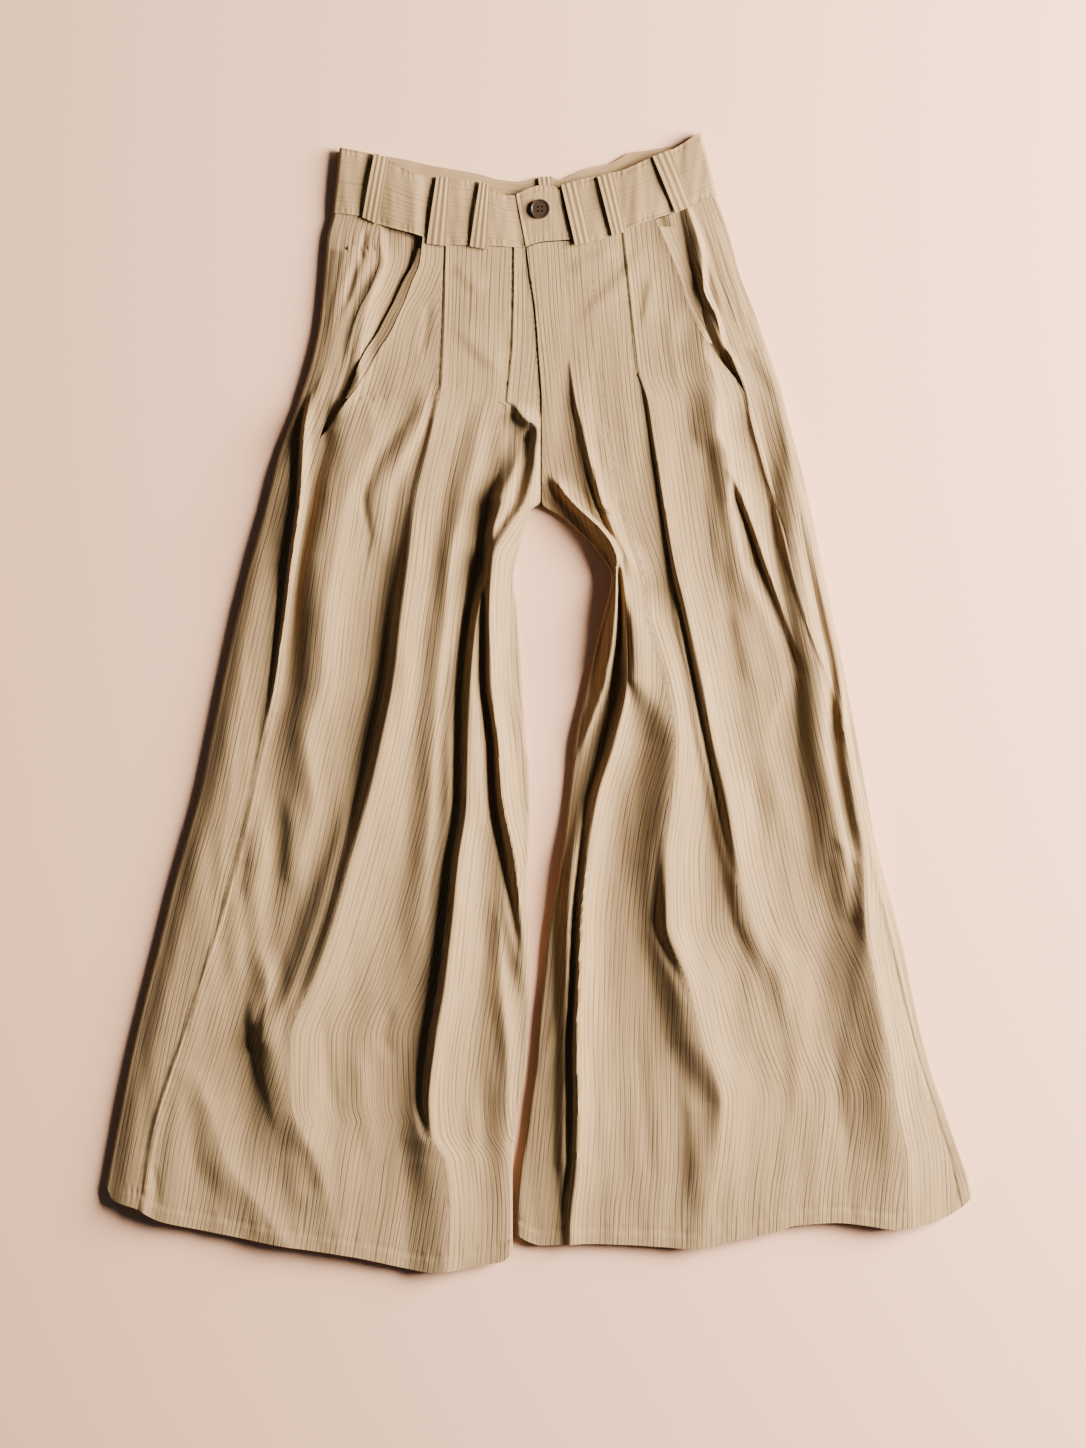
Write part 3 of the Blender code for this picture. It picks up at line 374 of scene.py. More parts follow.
            (470, 730, 1, 8, 0.5), (500, 741, 9, 11, 0.5), (530, 752, 9, 9, 0.5), (560, 762, 10, 9, 0.5),
            (600, 777, 8, 9, 0.5), (640, 792, 4, 8, 0.5), (672, 805, 0, 8, 0.5))},
        "side fold": {"east": 44,
                 "gap": ((520, 1, 7), (600, 6, 8), (700, 8, 9), (830, 8, 9), (880, 3, 10), (930, 2, 10),
                         (960, 0, 10)),
                 "crest": (
            (350, 763, 2, 20, 0.4), (380, 775, 3.5, 24, 0.4), (410, 786, 6, 28, 0.4), (430, 791, 8, 30, 0.4),
            (460, 798, 10, 32, 0.35), (500, 804, 12, 34, 0.25), (560, 814, 13, 40, 0.25),
            (620, 828, 15, 44, 0.25),
            (680, 840, 16, 48, 0.22), (740, 842, 17, 46, 0.25), (800, 852, 18, 52, 0.35),
            (860, 862, 18, 56, 0.4),
            (920, 864, 18, 54, 0.75), (980, 874, 17, 52, 0.55), (1040, 886, 16, 60, 0.55),
            (1100, 895, 14, 64, 0.55),
            (1160, 906, 10, 78, 0.6), (1215, 908, 6, 86, 0.45))},
        "side seam": {"east": 7, "crest": (
            (205, 686, 1.5, 6, 0.6), (240, 697, 6, 18, 0.7), (262, 702, 8, 24, 0.62), (290, 703, 10, 20, 0.8),
            (320, 716, 10, 28, 0.65), (345, 722, 7, 16, 0.6), (362, 733, 4, 10, 0.5), (394, 746, 1.5, 5, 0.5),
            (423, 751, 2.2, 4, 0.5), (503, 773, 2.2, 5, 0.5), (607, 800, 1.8, 4, 0.5),
            (706, 835, 1.8, 4, 0.5),
            (818, 862, 1.8, 4, 0.5), (862, 873, 3, 6, 0.5), (950, 893, 1.8, 4, 0.5), (1060, 920, 0, 4, 0.5))},
    },
}
# How far the height eases down towards each edge, and the share of it that is kept there
EDGE_ROUNDS = {
    "right": {"outer": {"width": 20.0, "keep": 0.35}, "inner": {"width": 8.0, "keep": 0.8}},
    "left": {"outer": {"width": 9.0, "keep": 0.6}, "inner": {"width": 7.0, "keep": 0.85}},
}
HIGHEST = {"start": 25.0, "room": 9.0}
POCKET_LIP = {"height": 2.4, "width": 10.0}
HIP_SINK = {"right": {"depth": 4.2, "width": 24.0}, "left": {"depth": 4.5, "width": 16.0}}
TOWARDS_CENTRE = {"right": 1.0, "left": -1.0}

# Finer creases: height, the widths of the slopes west and east of the line, and its points (across, down)
CREASES = {
    "right": (
        {"height": -1.6, "west": 3, "east": 3, "line": ((367, 228), (362, 256), (366, 266))},
        {"height": -1.6, "west": 4, "east": 3, "line": ((356, 262), (351, 291), (346, 310))},
        {"height": 1.4, "west": 4, "east": 7, "line": ((372, 232), (366, 262), (352, 300), (338, 336))},
        {"height": 1.2, "west": 3, "east": 6, "line": ((350, 220), (344, 262), (334, 310), (326, 348))},
        {"height": 1.0, "west": 3, "east": 5, "line": ((340, 220), (334, 262), (328, 312))},
        {"height": 1.0, "west": 3, "east": 5, "line": ((360, 224), (352, 262), (340, 300))},
        {"height": 1.6, "west": 3, "east": 8, "line": ((330, 360), (318, 392), (308, 436), (304, 480))},
        {"height": 2.4, "west": 3, "east": 6, "line": ((312, 440), (307, 480), (301, 520), (296, 560),
        (290, 600))},
        {"height": 1.6, "west": 3, "east": 6, "line": ((292, 590), (285, 640), (279, 684), (271, 720))},
        {"height": -1.5, "west": 4, "east": 4, "line": ((369, 472), (364, 500), (369, 525), (371, 540),
        (362, 566))},
        {"height": -2.0, "west": 7, "east": 7, "line": ((421, 400), (409, 418), (395, 438), (380, 458),
        (368, 486))},
        {"height": 1.4, "west": 6, "east": 12, "line": ((455, 262), (468, 280), (484, 296))},
        {"height": 1.4, "west": 6, "east": 12, "line": ((452, 322), (482, 355), (508, 376))},
        {"height": -1.4, "west": 5, "east": 5, "line": ((430, 300), (426, 330), (420, 360))},
        {"height": 1.6, "west": 4, "east": 9, "line": ((527, 440), (518, 462), (510, 486))},
        {"height": 1.2, "west": 3, "east": 5, "line": ((534, 442), (527, 458), (520, 474))},
        {"height": 2.2, "west": 4, "east": 7, "line": ((516, 410), (524, 422), (536, 436))},
        {"height": -2.0, "west": 9, "east": 9, "line": ((488, 900), (492, 962), (493, 1008), (498, 1060),
        (503, 1110))},
        {"height": -1.8, "west": 8, "east": 6, "line": ((392, 1000), (384, 1034), (391, 1060))},
        {"height": 2.6, "west": 6, "east": 20, "line": ((250, 985), (257, 1024), (264, 1062), (273, 1099),
        (283, 1140))},
        {"height": -2.4, "west": 12, "east": 10, "line": ((300, 1135), (306, 1165), (314, 1200))},
        {"height": 2.0, "west": 8, "east": 14, "line": ((262, 812), (252, 845), (250, 877), (253, 912))},
        {"height": 1.8, "west": 7, "east": 12, "line": ((287, 786), (293, 829), (290, 871), (297, 896))},
        {"height": 1.6, "west": 10, "east": 10, "line": ((240, 870), (238, 930), (236, 992))},
        {"height": -1.2, "west": 3, "east": 3, "line": ((153, 1155), (158, 1184), (156, 1210))},
        {"height": 1.6, "west": 5, "east": 9, "line": ((503, 666), (513, 699), (521, 735), (526, 760))},
        {"height": 2.0, "west": 6, "east": 10, "line": ((479, 668), (476, 728), (478, 766), (481, 806),
        (486, 850))},
        {"height": 1.4, "west": 6, "east": 9, "line": ((470, 1090), (474, 1140), (480, 1190))},
        {"height": 1.8, "west": 5, "east": 8, "line": ((409, 640), (404, 700), (396, 745))},
        {"height": -1.6, "west": 8, "east": 8, "line": ((330, 960), (322, 1020), (330, 1085), (345, 1140))},
        {"height": 1.5, "west": 7, "east": 12, "line": ((358, 1040), (364, 1100), (372, 1170))},
    ),
    "left": (
        {"height": 1.5, "west": 5, "east": 10, "line": ((617, 249), (590, 262), (567, 272))},
        {"height": 1.7, "west": 6, "east": 12, "line": ((650, 240), (626, 276), (594, 309), (576, 332))},
        {"height": 1.4, "west": 4, "east": 8, "line": ((652, 272), (648, 300), (643, 330))},
        {"height": 2.4, "west": 4, "east": 6, "line": ((545, 470), (562, 486), (580, 504), (598, 524),
        (612, 548))},
        {"height": 1.8, "west": 3, "east": 4, "line": ((556, 478), (572, 492), (588, 512))},
        {"height": -1.8, "west": 3, "east": 3, "line": ((550, 482), (560, 494), (574, 512), (590, 532))},
        {"height": 1.6, "west": 3, "east": 4, "line": ((543, 486), (553, 500), (568, 514))},
        {"height": 2.0, "west": 4, "east": 6, "line": ((614, 566), (617, 600), (612, 640), (603, 684))},
        {"height": 1.6, "west": 5, "east": 5, "line": ((596, 700), (588, 730), (580, 760))},
        {"height": -1.5, "west": 6, "east": 7, "line": ((700, 400), (706, 443), (716, 497), (724, 542),
        (728, 600))},
        {"height": 2.0, "west": 6, "east": 10, "line": ((735, 600), (740, 640), (752, 690))},
        {"height": -2.2, "west": 8, "east": 7, "line": ((745, 348), (761, 380), (773, 402), (781, 457),
        (786, 490))},
        {"height": 1.4, "west": 3, "east": 6, "line": ((690, 206), (700, 240), (716, 290), (728, 330))},
        {"height": 1.2, "west": 3, "east": 5, "line": ((698, 206), (712, 244), (726, 290), (742, 340))},
        {"height": 1.2, "west": 3, "east": 5, "line": ((706, 204), (722, 250), (738, 300), (752, 352))},
        {"height": 1.4, "west": 4, "east": 7, "line": ((742, 396), (756, 440), (768, 486), (782, 530))},
        {"height": 1.4, "west": 3, "east": 6, "line": ((830, 830), (842, 852), (850, 880))},
        {"height": 1.4, "west": 3, "east": 6, "line": ((838, 838), (852, 858), (862, 874))},
        {"height": 1.8, "west": 8, "east": 12, "line": ((590, 960), (600, 1030), (604, 1110), (604, 1190))},
        {"height": -1.6, "west": 7, "east": 8, "line": ((636, 1010), (640, 1070), (646, 1140), (648, 1200))},
        {"height": 1.6, "west": 8, "east": 14, "line": ((770, 900), (784, 980), (792, 1060), (798, 1150))},
        {"height": -1.6, "west": 8, "east": 8, "line": ((826, 1010), (836, 1080), (846, 1160))},
        {"height": 1.8, "west": 6, "east": 12, "line": ((680, 1070), (690, 1110), (694, 1160), (690, 1210))},
        {"height": 1.4, "west": 5, "east": 8, "line": ((562, 1000), (548, 1046), (537, 1082))},
        {"height": 1.4, "west": 5, "east": 10, "line": ((600, 420), (608, 470), (620, 520))},
        {"height": 1.2, "west": 5, "east": 10, "line": ((668, 300), (672, 350), (684, 410))},
    ),
}

RIB_OVERLAP = 4.0
RIB_SPACING = 4.6

# The ribs run along these folds, from west to east: fold name and the part of the leg where it leads them
RIB_LEADERS = {
    "right": (("first pleat", 249, 1120), ("second pleat", 249, 1262), ("inseam roll", 520, 870)),
    "left": (("inseam roll", 583, 1245), ("knee fold", 620, 1180), ("first pleat", 234, 1000),
             ("side fold", 520, 1215)),
}
PLEAT_TOPS = {
    ("right", "first pleat"): ((249, 446),),
    ("right", "second pleat"): ((249, 514), (330, 513)),
    ("left", "first pleat"): ((234, 623), (300, 630)),
}
RIB_START = {
    "right": SIDE_SEAM["right"],
    "left": ((249, 532), (400, 545), (503, 562), (600, 588), (700, 584), (786, 570), (900, 555), (1019, 540),
             (1128, 528), (1250, 517)),
}

# Colours as linear values
CLOTH_LIGHT = (0.30, 0.184, 0.080, 1.0)
CLOTH_DARK = (0.105, 0.066, 0.030, 1.0)
BAND_DARK = (0.20, 0.123, 0.054, 1.0)
BUTTON_DARK = (0.012, 0.008, 0.006, 1.0)
BUTTON_BROWN = (0.05, 0.028, 0.016, 1.0)
FLOOR = (0.76, 0.425, 0.262, 1.0)
RIB_DEPTH = {"cloth": 0.34, "band": 0.10}

# One lamp low beside the garment, and a weak cool surround. The camera is straight above, its places in millimetres.
KEY = {"size": 1.6, "energy": 800.0, "colour": (1.0, 0.97, 0.93), "place": (2.5, 0.6, 1.2)}
SURROUND = {"colour": (0.68, 0.84, 1.0, 1.0), "strength": 0.07}
VIEW_MM = {"centre_across": 543.0, "centre_down": 724.0, "height": 1448.0}
CAMERA_HEIGHT = 3.0
SENSOR_MM = 36.0
FLOOR_SIZE = 16.0
FLOOR_DROP = 0.0002


def read_curve(rows, at, column=1):
    """A smooth curve through the rows that never swings past them, straight beyond its ends."""
    rows = sorted(rows)
    known = np.array([row[0] for row in rows], float)
    value = np.array([row[column] for row in rows], float)
    secant = np.diff(value) / np.diff(known)
    agree = secant[1:] * secant[:-1] > 0.0
    after_row = np.where(agree, secant[1:], 1.0)
    before_row = np.where(agree, secant[:-1], 1.0)
    inner_slope = np.where(agree, 2.0 / (1.0 / after_row + 1.0 / before_row), 0.0)
    slope = np.concatenate([secant[:1], inner_slope, secant[-1:]])
    at = np.asarray(at, float)
    i = np.clip(np.searchsorted(known, at) - 1, 0, len(known) - 2)
    span = known[i + 1] - known[i]
    t = np.clip((at - known[i]) / span, 0.0, 1.0)
    t2 = t * t
    t3 = t2 * t
    inside = (
        (2 * t3 - 3 * t2 + 1) * value[i]
        + (t3 - 2 * t2 + t) * span * slope[i]
        + (3 * t2 - 2 * t3) * value[i + 1]
        + (t3 - t2) * span * slope[i + 1]
    )
    before = np.minimum(at - known[0], 0.0) * slope[0]
    after = np.maximum(at - known[-1], 0.0) * slope[-1]
    return inside + before + after


def ease(t):
    t = np.clip(t, 0.0, 1.0)
    return t * t * (3.0 - 2.0 * t)


def below_crotch(down):
    return ease((down - CROTCH_DOWN) / CROTCH_FADE)


def fold_column(fold, down, column, before=None):
    crest = fold["crest"]
    return np.interp(down, [row[0] for row in crest], [row[column] for row in crest], left=before)


def fold_height(fold, across, down):
    """A fold's height: it rises over its reach, steepest at its core, and falls east of the crest."""
    lift = fold_column(fold, down, 2, 0.0)
    reach = fold_column(fold, down, 3)
    core = fold_column(fold, down, 4)
    distance = across - read_curve(fold["crest"], down)
    t = np.clip(1.0 + distance / reach, 0.0, 1.0)
    late = np.log(0.5) / np.log(np.maximum(core, 0.5))
    early = np.log(0.5) / np.log(np.maximum(1.0 - core, 0.5))
    rising = np.where(core >= 0.5, ease(t ** late), 1.0 - ease((1.0 - t) ** early))
    falling = np.clip(1.0 - distance / fold["east"], 0.0, 1.0) ** 2
    height = lift * np.where(distance < 0.0, rising, falling)
    if "gap" in fold:
        gap_down, gap_depth, gap_width = zip(*fold["gap"])
        depth = np.interp(down, gap_down, gap_depth, left=0.0, right=0.0)
        width = np.interp(down, gap_down, gap_width)
        height = height - depth * np.exp(-(((distance + 1.1 * width) / width) ** 2) * 1.6)
    return height


def crease_height(crease, across, down):
    """A crease's height at points, fading out at both its ends."""
    line = np.array(crease["line"], float)
    steps = np.diff(line, axis=0)
    lengths = np.linalg.norm(steps, axis=1)
    before = np.concatenate([[0.0], np.cumsum(lengths)])
    reach = 4.0 * max(crease["west"], crease["east"])
    near = (
        (across > line[:, 0].min() - reach) & (across < line[:, 0].max() + reach)
        & (down > line[:, 1].min() - reach) & (down < line[:, 1].max() + reach)
    )
    height = np.zeros_like(across)
    if not near.any():
        return height
    point = np.stack([across[near], down[near]], axis=-1)
    best = np.full(len(point), 1e9)
    signed = np.zeros(len(point))
    part = np.zeros(len(point))
    for start, step, length, gone in zip(line, steps, lengths, before):
        t = np.clip(((point - start) @ step) / length ** 2, 0.0, 1.0)
        away = point - start - t[:, None] * step
        distance = np.linalg.norm(away, axis=1)
        side = np.sign(away[:, 0] * step[1] - away[:, 1] * step[0])
        closer = distance < best
        best = np.where(closer, distance, best)
        signed = np.where(closer, distance * side, signed)
        part = np.where(closer, (gone + t * length) / before[-1], part)
    width = np.where(signed < 0.0, crease["west"], crease["east"])
    fade = ease(np.minimum(part, 1.0 - part) / 0.3)
    height[near] = crease["height"] * np.exp(-((signed / width) ** 2)) * fade
    return height


def crinkle(across, down):
    """Small uneven waves, long along the leg and short across it, the same on every run."""
    random = np.random.default_rng(SEED)
    height = np.zeros_like(across)
    for _ in range(CRINKLE["waves"]):
        width = random.uniform(16.0, 60.0)
        length = width * random.uniform(6.0, 14.0)
        phase = random.uniform(0.0, 2.0 * math.pi)
        bend = random.uniform(0.0, 2.0 * math.pi)
        lean = random.uniform(-0.05, 0.05)
        across_wave = np.sin(2.0 * math.pi * (across + lean * down) / width + phase)
        down_wave = np.sin(2.0 * math.pi * down / length + bend)
        height = height + CRINKLE["steepness"] * width * across_wave * down_wave
    return height


def pucker(distance, along, depth, reach, spacing):
    """Short waves beside a line of sewing."""
    uneven = 0.35 * np.sin(along * 2.0 * math.pi / (spacing * 3.7) + 1.0)
    waves = np.sin(2.0 * math.pi * along / spacing + 2.6 * uneven * math.pi)
    return depth * waves * np.exp(-((distance / reach) ** 2))


def sewing_relief(side, across, down):
    """Grooves and puckers along the seams and the stitched pleats."""
    height = np.zeros_like(across)
    seam = read_curve(SIDE_SEAM[side], down)
    off_seam = across - seam
    height += pucker(off_seam, down, 0.34, 6.0, 11.0) * ease((down - 430.0) / 60.0)
    height -= 0.5 * np.exp(-((off_seam / 1.6) ** 2)) * ease((down - 430.0) / 40.0)
    for (leg, fold), top in PLEAT_TOPS.items():
        if leg != side:
            continue
        crest = FOLDS[side][fold]["crest"]
        rows = tuple(top) + tuple((row[0], row[1]) for row in crest[:2])
        line = read_curve(rows, down)
        end = crest[0][0]
        stitched = ease((end + 6.0 - down) / 8.0)
        off = across - line
        step = np.where(off < 0.0, ease(1.0 + off / 1.4), np.clip(1.0 - off / 9.0, 0.0, 1.0) ** 2)
        height += stitched * (1.0 * step - 0.7 * np.exp(-(((off + 1.6) / 1.1) ** 2)))
        height += stitched * pucker(off - 3.0, down, 0.2, 4.0, 9.0)
    centre = across - read_curve(INNER_EDGE[side], down)
    height += pucker(centre, down, 0.35, 5.0, 10.0) * ease((470.0 - down) / 60.0)
    return height


def hem_relief(side, across, down, to_hem):
    """The turned-up hem: a slight rise below its line of stitches, puckered along it."""
    band = ease((HEM_TURN + 1.0 - to_hem) / 2.0)
    height = 0.45 * band - 0.55 * np.exp(-(((to_hem - HEM_TURN) / 1.5) ** 2))
    return height + pucker(to_hem - HEM_TURN, across, 0.4, 7.0, 9.5)


def edge_share(distance, rounding):
    """The share of the height above the edge's own that is there at a distance from it."""
    t = np.clip(distance / rounding["width"], 0.0, 1.0)
    return rounding["keep"] + (1.0 - rounding["keep"]) * (1.0 - (1.0 - t) ** 2)


def top_height(side, across, down):
    """The upper surface of one leg, from its outer edge to its inner edge."""
    across, down = np.broadcast_arrays(np.asarray(across, float), np.asarray(down, float))
    outer = read_curve(OUTER_EDGE[side], down)
    inner = read_curve(INNER_EDGE[side], down)
    share = np.clip((across - outer) / (inner - outer), 0.0, 1.0)
    crown = LEG_CROWN * ease((down - CROWN_START["down"]) / CROWN_START["fade"])
    height = BASE_HEIGHT + crown * np.sin(math.pi * share)
    for fold in FOLDS[side].values():
        height = height + fold_height(fold, across, down)
    for crease in CREASES[side]:
        height = height + crease_height(crease, across, down)
    height = height + crinkle(across + (300.0 if side == "left" else 0.0), down) * ease((down - 240.0) / 200.0)
    if side == "left":
        near_fly = ease(1.0 - (across - inner) / FLY["reach"]) * ease(1.0 - (down - FLY["end"]) / FLY["fade"])
        height = height + FLY["step"] * near_fly
    over = np.maximum(height - HIGHEST["start"], 0.0)
    height = height - over + HIGHEST["room"] * (1.0 - np.exp(-over / HIGHEST["room"]))
    rounds = EDGE_ROUNDS[side]
    kept = edge_share(np.abs(across - outer) - ROLL_WIDTH, rounds["outer"])
    height = EDGE_HEIGHT + (height - EDGE_HEIGHT) * kept
    kept = edge_share(np.abs(across - inner) - ROLL_WIDTH, rounds["inner"])
    height = height + (EDGE_HEIGHT + (height - EDGE_HEIGHT) * kept - height) * below_crotch(down)
    height = height + sewing_relief(side, across, down)
    lip = np.exp(-np.abs(across - read_curve(POCKET_EDGE[side], down)) / POCKET_LIP["width"])
    height = height + POCKET_LIP["height"] * lip * ease((POCKET_EDGE[side][-1][0] - down) / 30.0)
    return np.maximum(height, LOWEST_TOP)


def end_row(side, rows):
    """The waist seam or the hem as rows of (share across the leg, down)."""
    found = []
    for across, down in rows:
        outer = float(read_curve(OUTER_EDGE[side], down))
        inner = float(read_curve(INNER_EDGE[side], down))
        found.append(((across - outer) / (inner - outer), float(down)))
    return found


def leg_rows(side):
    """Two functions of a share across the leg: down at a part v of the way to the hem, and the hem's."""
    waist = end_row(side, WAIST_SEAM[side])
    hem = end_row(side, HEM[side])

    def down_at(share, v):
        return (1.0 - v) * (read_curve(waist, share) + SEAM_GAP) + v * read_curve(hem, share)

    def hem_at(share):
        return read_curve(hem, share)

    return down_at, hem_at


def across_at(side, share, down):
    outer = read_curve(OUTER_EDGE[side], down)
    inner = read_curve(INNER_EDGE[side], down)
    return outer + share * (inner - outer)


def share_of_line(side, line, v, down_at):
    """Where a line that runs down the leg crosses the rows v, as shares across."""
    share = np.full_like(v, START_SHARE)
    for _ in range(LINE_PASSES):
        down = down_at(share, v)
        outer = read_curve(OUTER_EDGE[side], down)
        inner = read_curve(INNER_EDGE[side], down)
        share = (line(down) - outer) / (inner - outer)
    return share


def front_edge(side, down):
    """The front panel's outer boundary: the pocket's edge, then the side seam below it."""
    pocket = read_curve(POCKET_EDGE[side], down)
    seam = read_curve(SIDE_SEAM[side], down)
    pocket_end = POCKET_EDGE[side][-1][0]
    return pocket + (seam - pocket) * ease((down - pocket_end) / POCKET_MERGE)


def fold_weight(side, across, down):
    """How closely the columns stand at a point: more round each crest."""
    weight = np.full_like(across, 1.0)
    for fold in FOLDS[side].values():
        lift = fold_column(fold, down, 2, 0.0)
        reach = fold_column(fold, down, 3)
        core = fold_column(fold, down, 4)
        distance = across - read_curve(fold["crest"], down) + reach * (1.0 - core)
        spread = 0.35 * reach + FOLD_COLUMNS["reach"]
        weight = weight + FOLD_COLUMNS["weight"] * lift / reach * np.exp(-((distance / spread) ** 2))
    return weight


def leader_rows(side, name):
    """A leading fold's line as rows of (down, across), from the top of its pleat."""
    rows = [(row[0], row[1]) for row in FOLDS[side][name]["crest"]]
    top = PLEAT_TOPS.get((side, name), ())
    return list(top) + [row for row in rows if not top or row[0] > top[-1][0]]


def leader_gap(side, name, rows, down):
    """How far a leading fold lies from the rib line just west of it, at one place down the leg."""
    return float(read_curve(rows, down) - read_leader_before(side, name, np.array(float(down))))


def rib_place(side, across, down):
    """How far a point lies across the ribs. Each leading fold turns the ribs beyond it along itself."""
    start = read_curve(RIB_START[side], down)
    place = across - start
    line_before = start
    added = 0.0
    for name, first, last in RIB_LEADERS[side]:
        rows = leader_rows(side, name)
        inside = np.clip(down, first, last)
        line = read_curve(rows, inside)
        end_gap = leader_gap(side, name, rows, last)
        line = np.where(down > last, line_before + end_gap, line)
        start_gap = leader_gap(side, name, rows, first)
        line = np.where(down < first, line_before + start_gap, line)
        added = added + end_gap
        place = np.where(across > line - RIB_OVERLAP, across - line + added, place)
        line_before = line
    return place


def read_leader_before(side, name, down):
    """The rib line just west of a leading fold."""
    line = read_curve(RIB_START[side], down)
    for other, first, last in RIB_LEADERS[side]:
        if other == name:
            return line
        rows = leader_rows(side, other)
        inside = np.clip(down, first, last)
        own = read_curve(rows, inside)
        end_gap = leader_gap(side, other, rows, last)
        start_gap = leader_gap(side, other, rows, first)
        own = np.where(down > last, line + end_gap, own)
        line = np.where(down < first, line + start_gap, own)
    return line


def to_frame(across, down, height):
    """Points in metres in the frame, from arrays in millimetres on the garment."""
    across, down, height = np.broadcast_arrays(across, down, height)
    return np.stack([across - ORIGIN["across"], ORIGIN["down"] - down, height], axis=-1) * MM


def inner_points(points, wall, outwards):
    """The wall's inner side: points moved in along their normals, straight down at the two side edges."""
    along = np.gradient(points, axis=0)
    across = np.gradient(points, axis=1)
    normal = np.cross(across, along) * outwards
    for edge in (0, -1):
        run = along[:, edge]
        run = run / np.linalg.norm(run, axis=1, keepdims=True)
        side = np.cross(run, (0.0, 0.0, 1.0))
        side = side / np.linalg.norm(side, axis=1, keepdims=True)
        normal[:, edge] -= side * np.sum(normal[:, edge] * side, axis=1, keepdims=True)
    normal = normal / np.linalg.norm(normal, axis=2, keepdims=True)
    normal[:, :, 2] += STEEP_EASE * ease(normal[:, :, 2] / 0.5)
    normal = normal / np.linalg.norm(normal, axis=2, keepdims=True)
    return points - normal * wall * MM


def shell_faces(rows, columns):
    """The faces of a closed wall: both sides and its four edges, as rows of four corners."""
    number = np.arange(rows * columns).reshape(rows, columns)
    under = number + rows * columns
    top = np.stack([number[:-1, :-1], number[1:, :-1], number[1:, 1:], number[:-1, 1:]], axis=-1).reshape(-1, 4)
    base = np.stack([under[:-1, :-1], under[:-1, 1:], under[1:, 1:], under[1:, :-1]], axis=-1).reshape(-1, 4)
    first = np.stack([number[:-1, 0], under[:-1, 0], under[1:, 0], number[1:, 0]], axis=-1)
    last = np.stack([number[:-1, -1], number[1:, -1], under[1:, -1], under[:-1, -1]], axis=-1)
    head = np.stack([number[0, :-1], number[0, 1:], under[0, 1:], under[0, :-1]], axis=-1)
    tail = np.stack([number[-1, :-1], under[-1, :-1], under[-1, 1:], number[-1, 1:]], axis=-1)
    return np.concatenate([top, base, first, last, head, tail])


def mesh_from(name, corners, faces):
    mesh = bpy.data.meshes.new(name)
    mesh.vertices.add(len(corners))
    mesh.vertices.foreach_set("co", np.asarray(corners, np.float32).ravel())
    mesh.loops.add(faces.size)
    mesh.loops.foreach_set("vertex_index", faces.astype(np.int32).ravel())
    mesh.polygons.add(len(faces))
    mesh.polygons.foreach_set("loop_start", np.arange(0, faces.size, faces.shape[1], dtype=np.int32))
    mesh.update(calc_edges=True)
    mesh.validate()
    return mesh


def cloth_shell(name, points, ribs, wall, outwards, finish, sharp_degrees=70.0):
    """A closed wall of cloth through rows of points, with each point's place across and along the ribs."""
    rows, columns = points.shape[:2]
    inner = inner_points(points, wall, outwards)
    corners = np.concatenate([points.reshape(-1, 3), inner.reshape(-1, 3)])
    mesh = mesh_from(name, corners, shell_faces(rows, columns))
    if outwards > 0:
        mesh.flip_normals()
    grain = mesh.attributes.new("grain", "FLOAT_VECTOR", "POINT")
    flat = np.zeros((rows * columns, 3), np.float32)
    flat[:, 0] = ribs[0].ravel()
    flat[:, 1] = ribs[1].ravel()
    grain.data.foreach_set("vector", np.concatenate([flat, flat]).ravel())
    mesh.shade_smooth()
    mesh.set_sharp_from_angle(angle=math.radians(sharp_degrees))
    mesh.materials.append(finish)
    piece = bpy.data.objects.new(name, mesh)
    bpy.context.scene.collection.objects.link(piece)
    return piece


def declare(piece, node):
    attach(piece, "root")
    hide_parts(node)


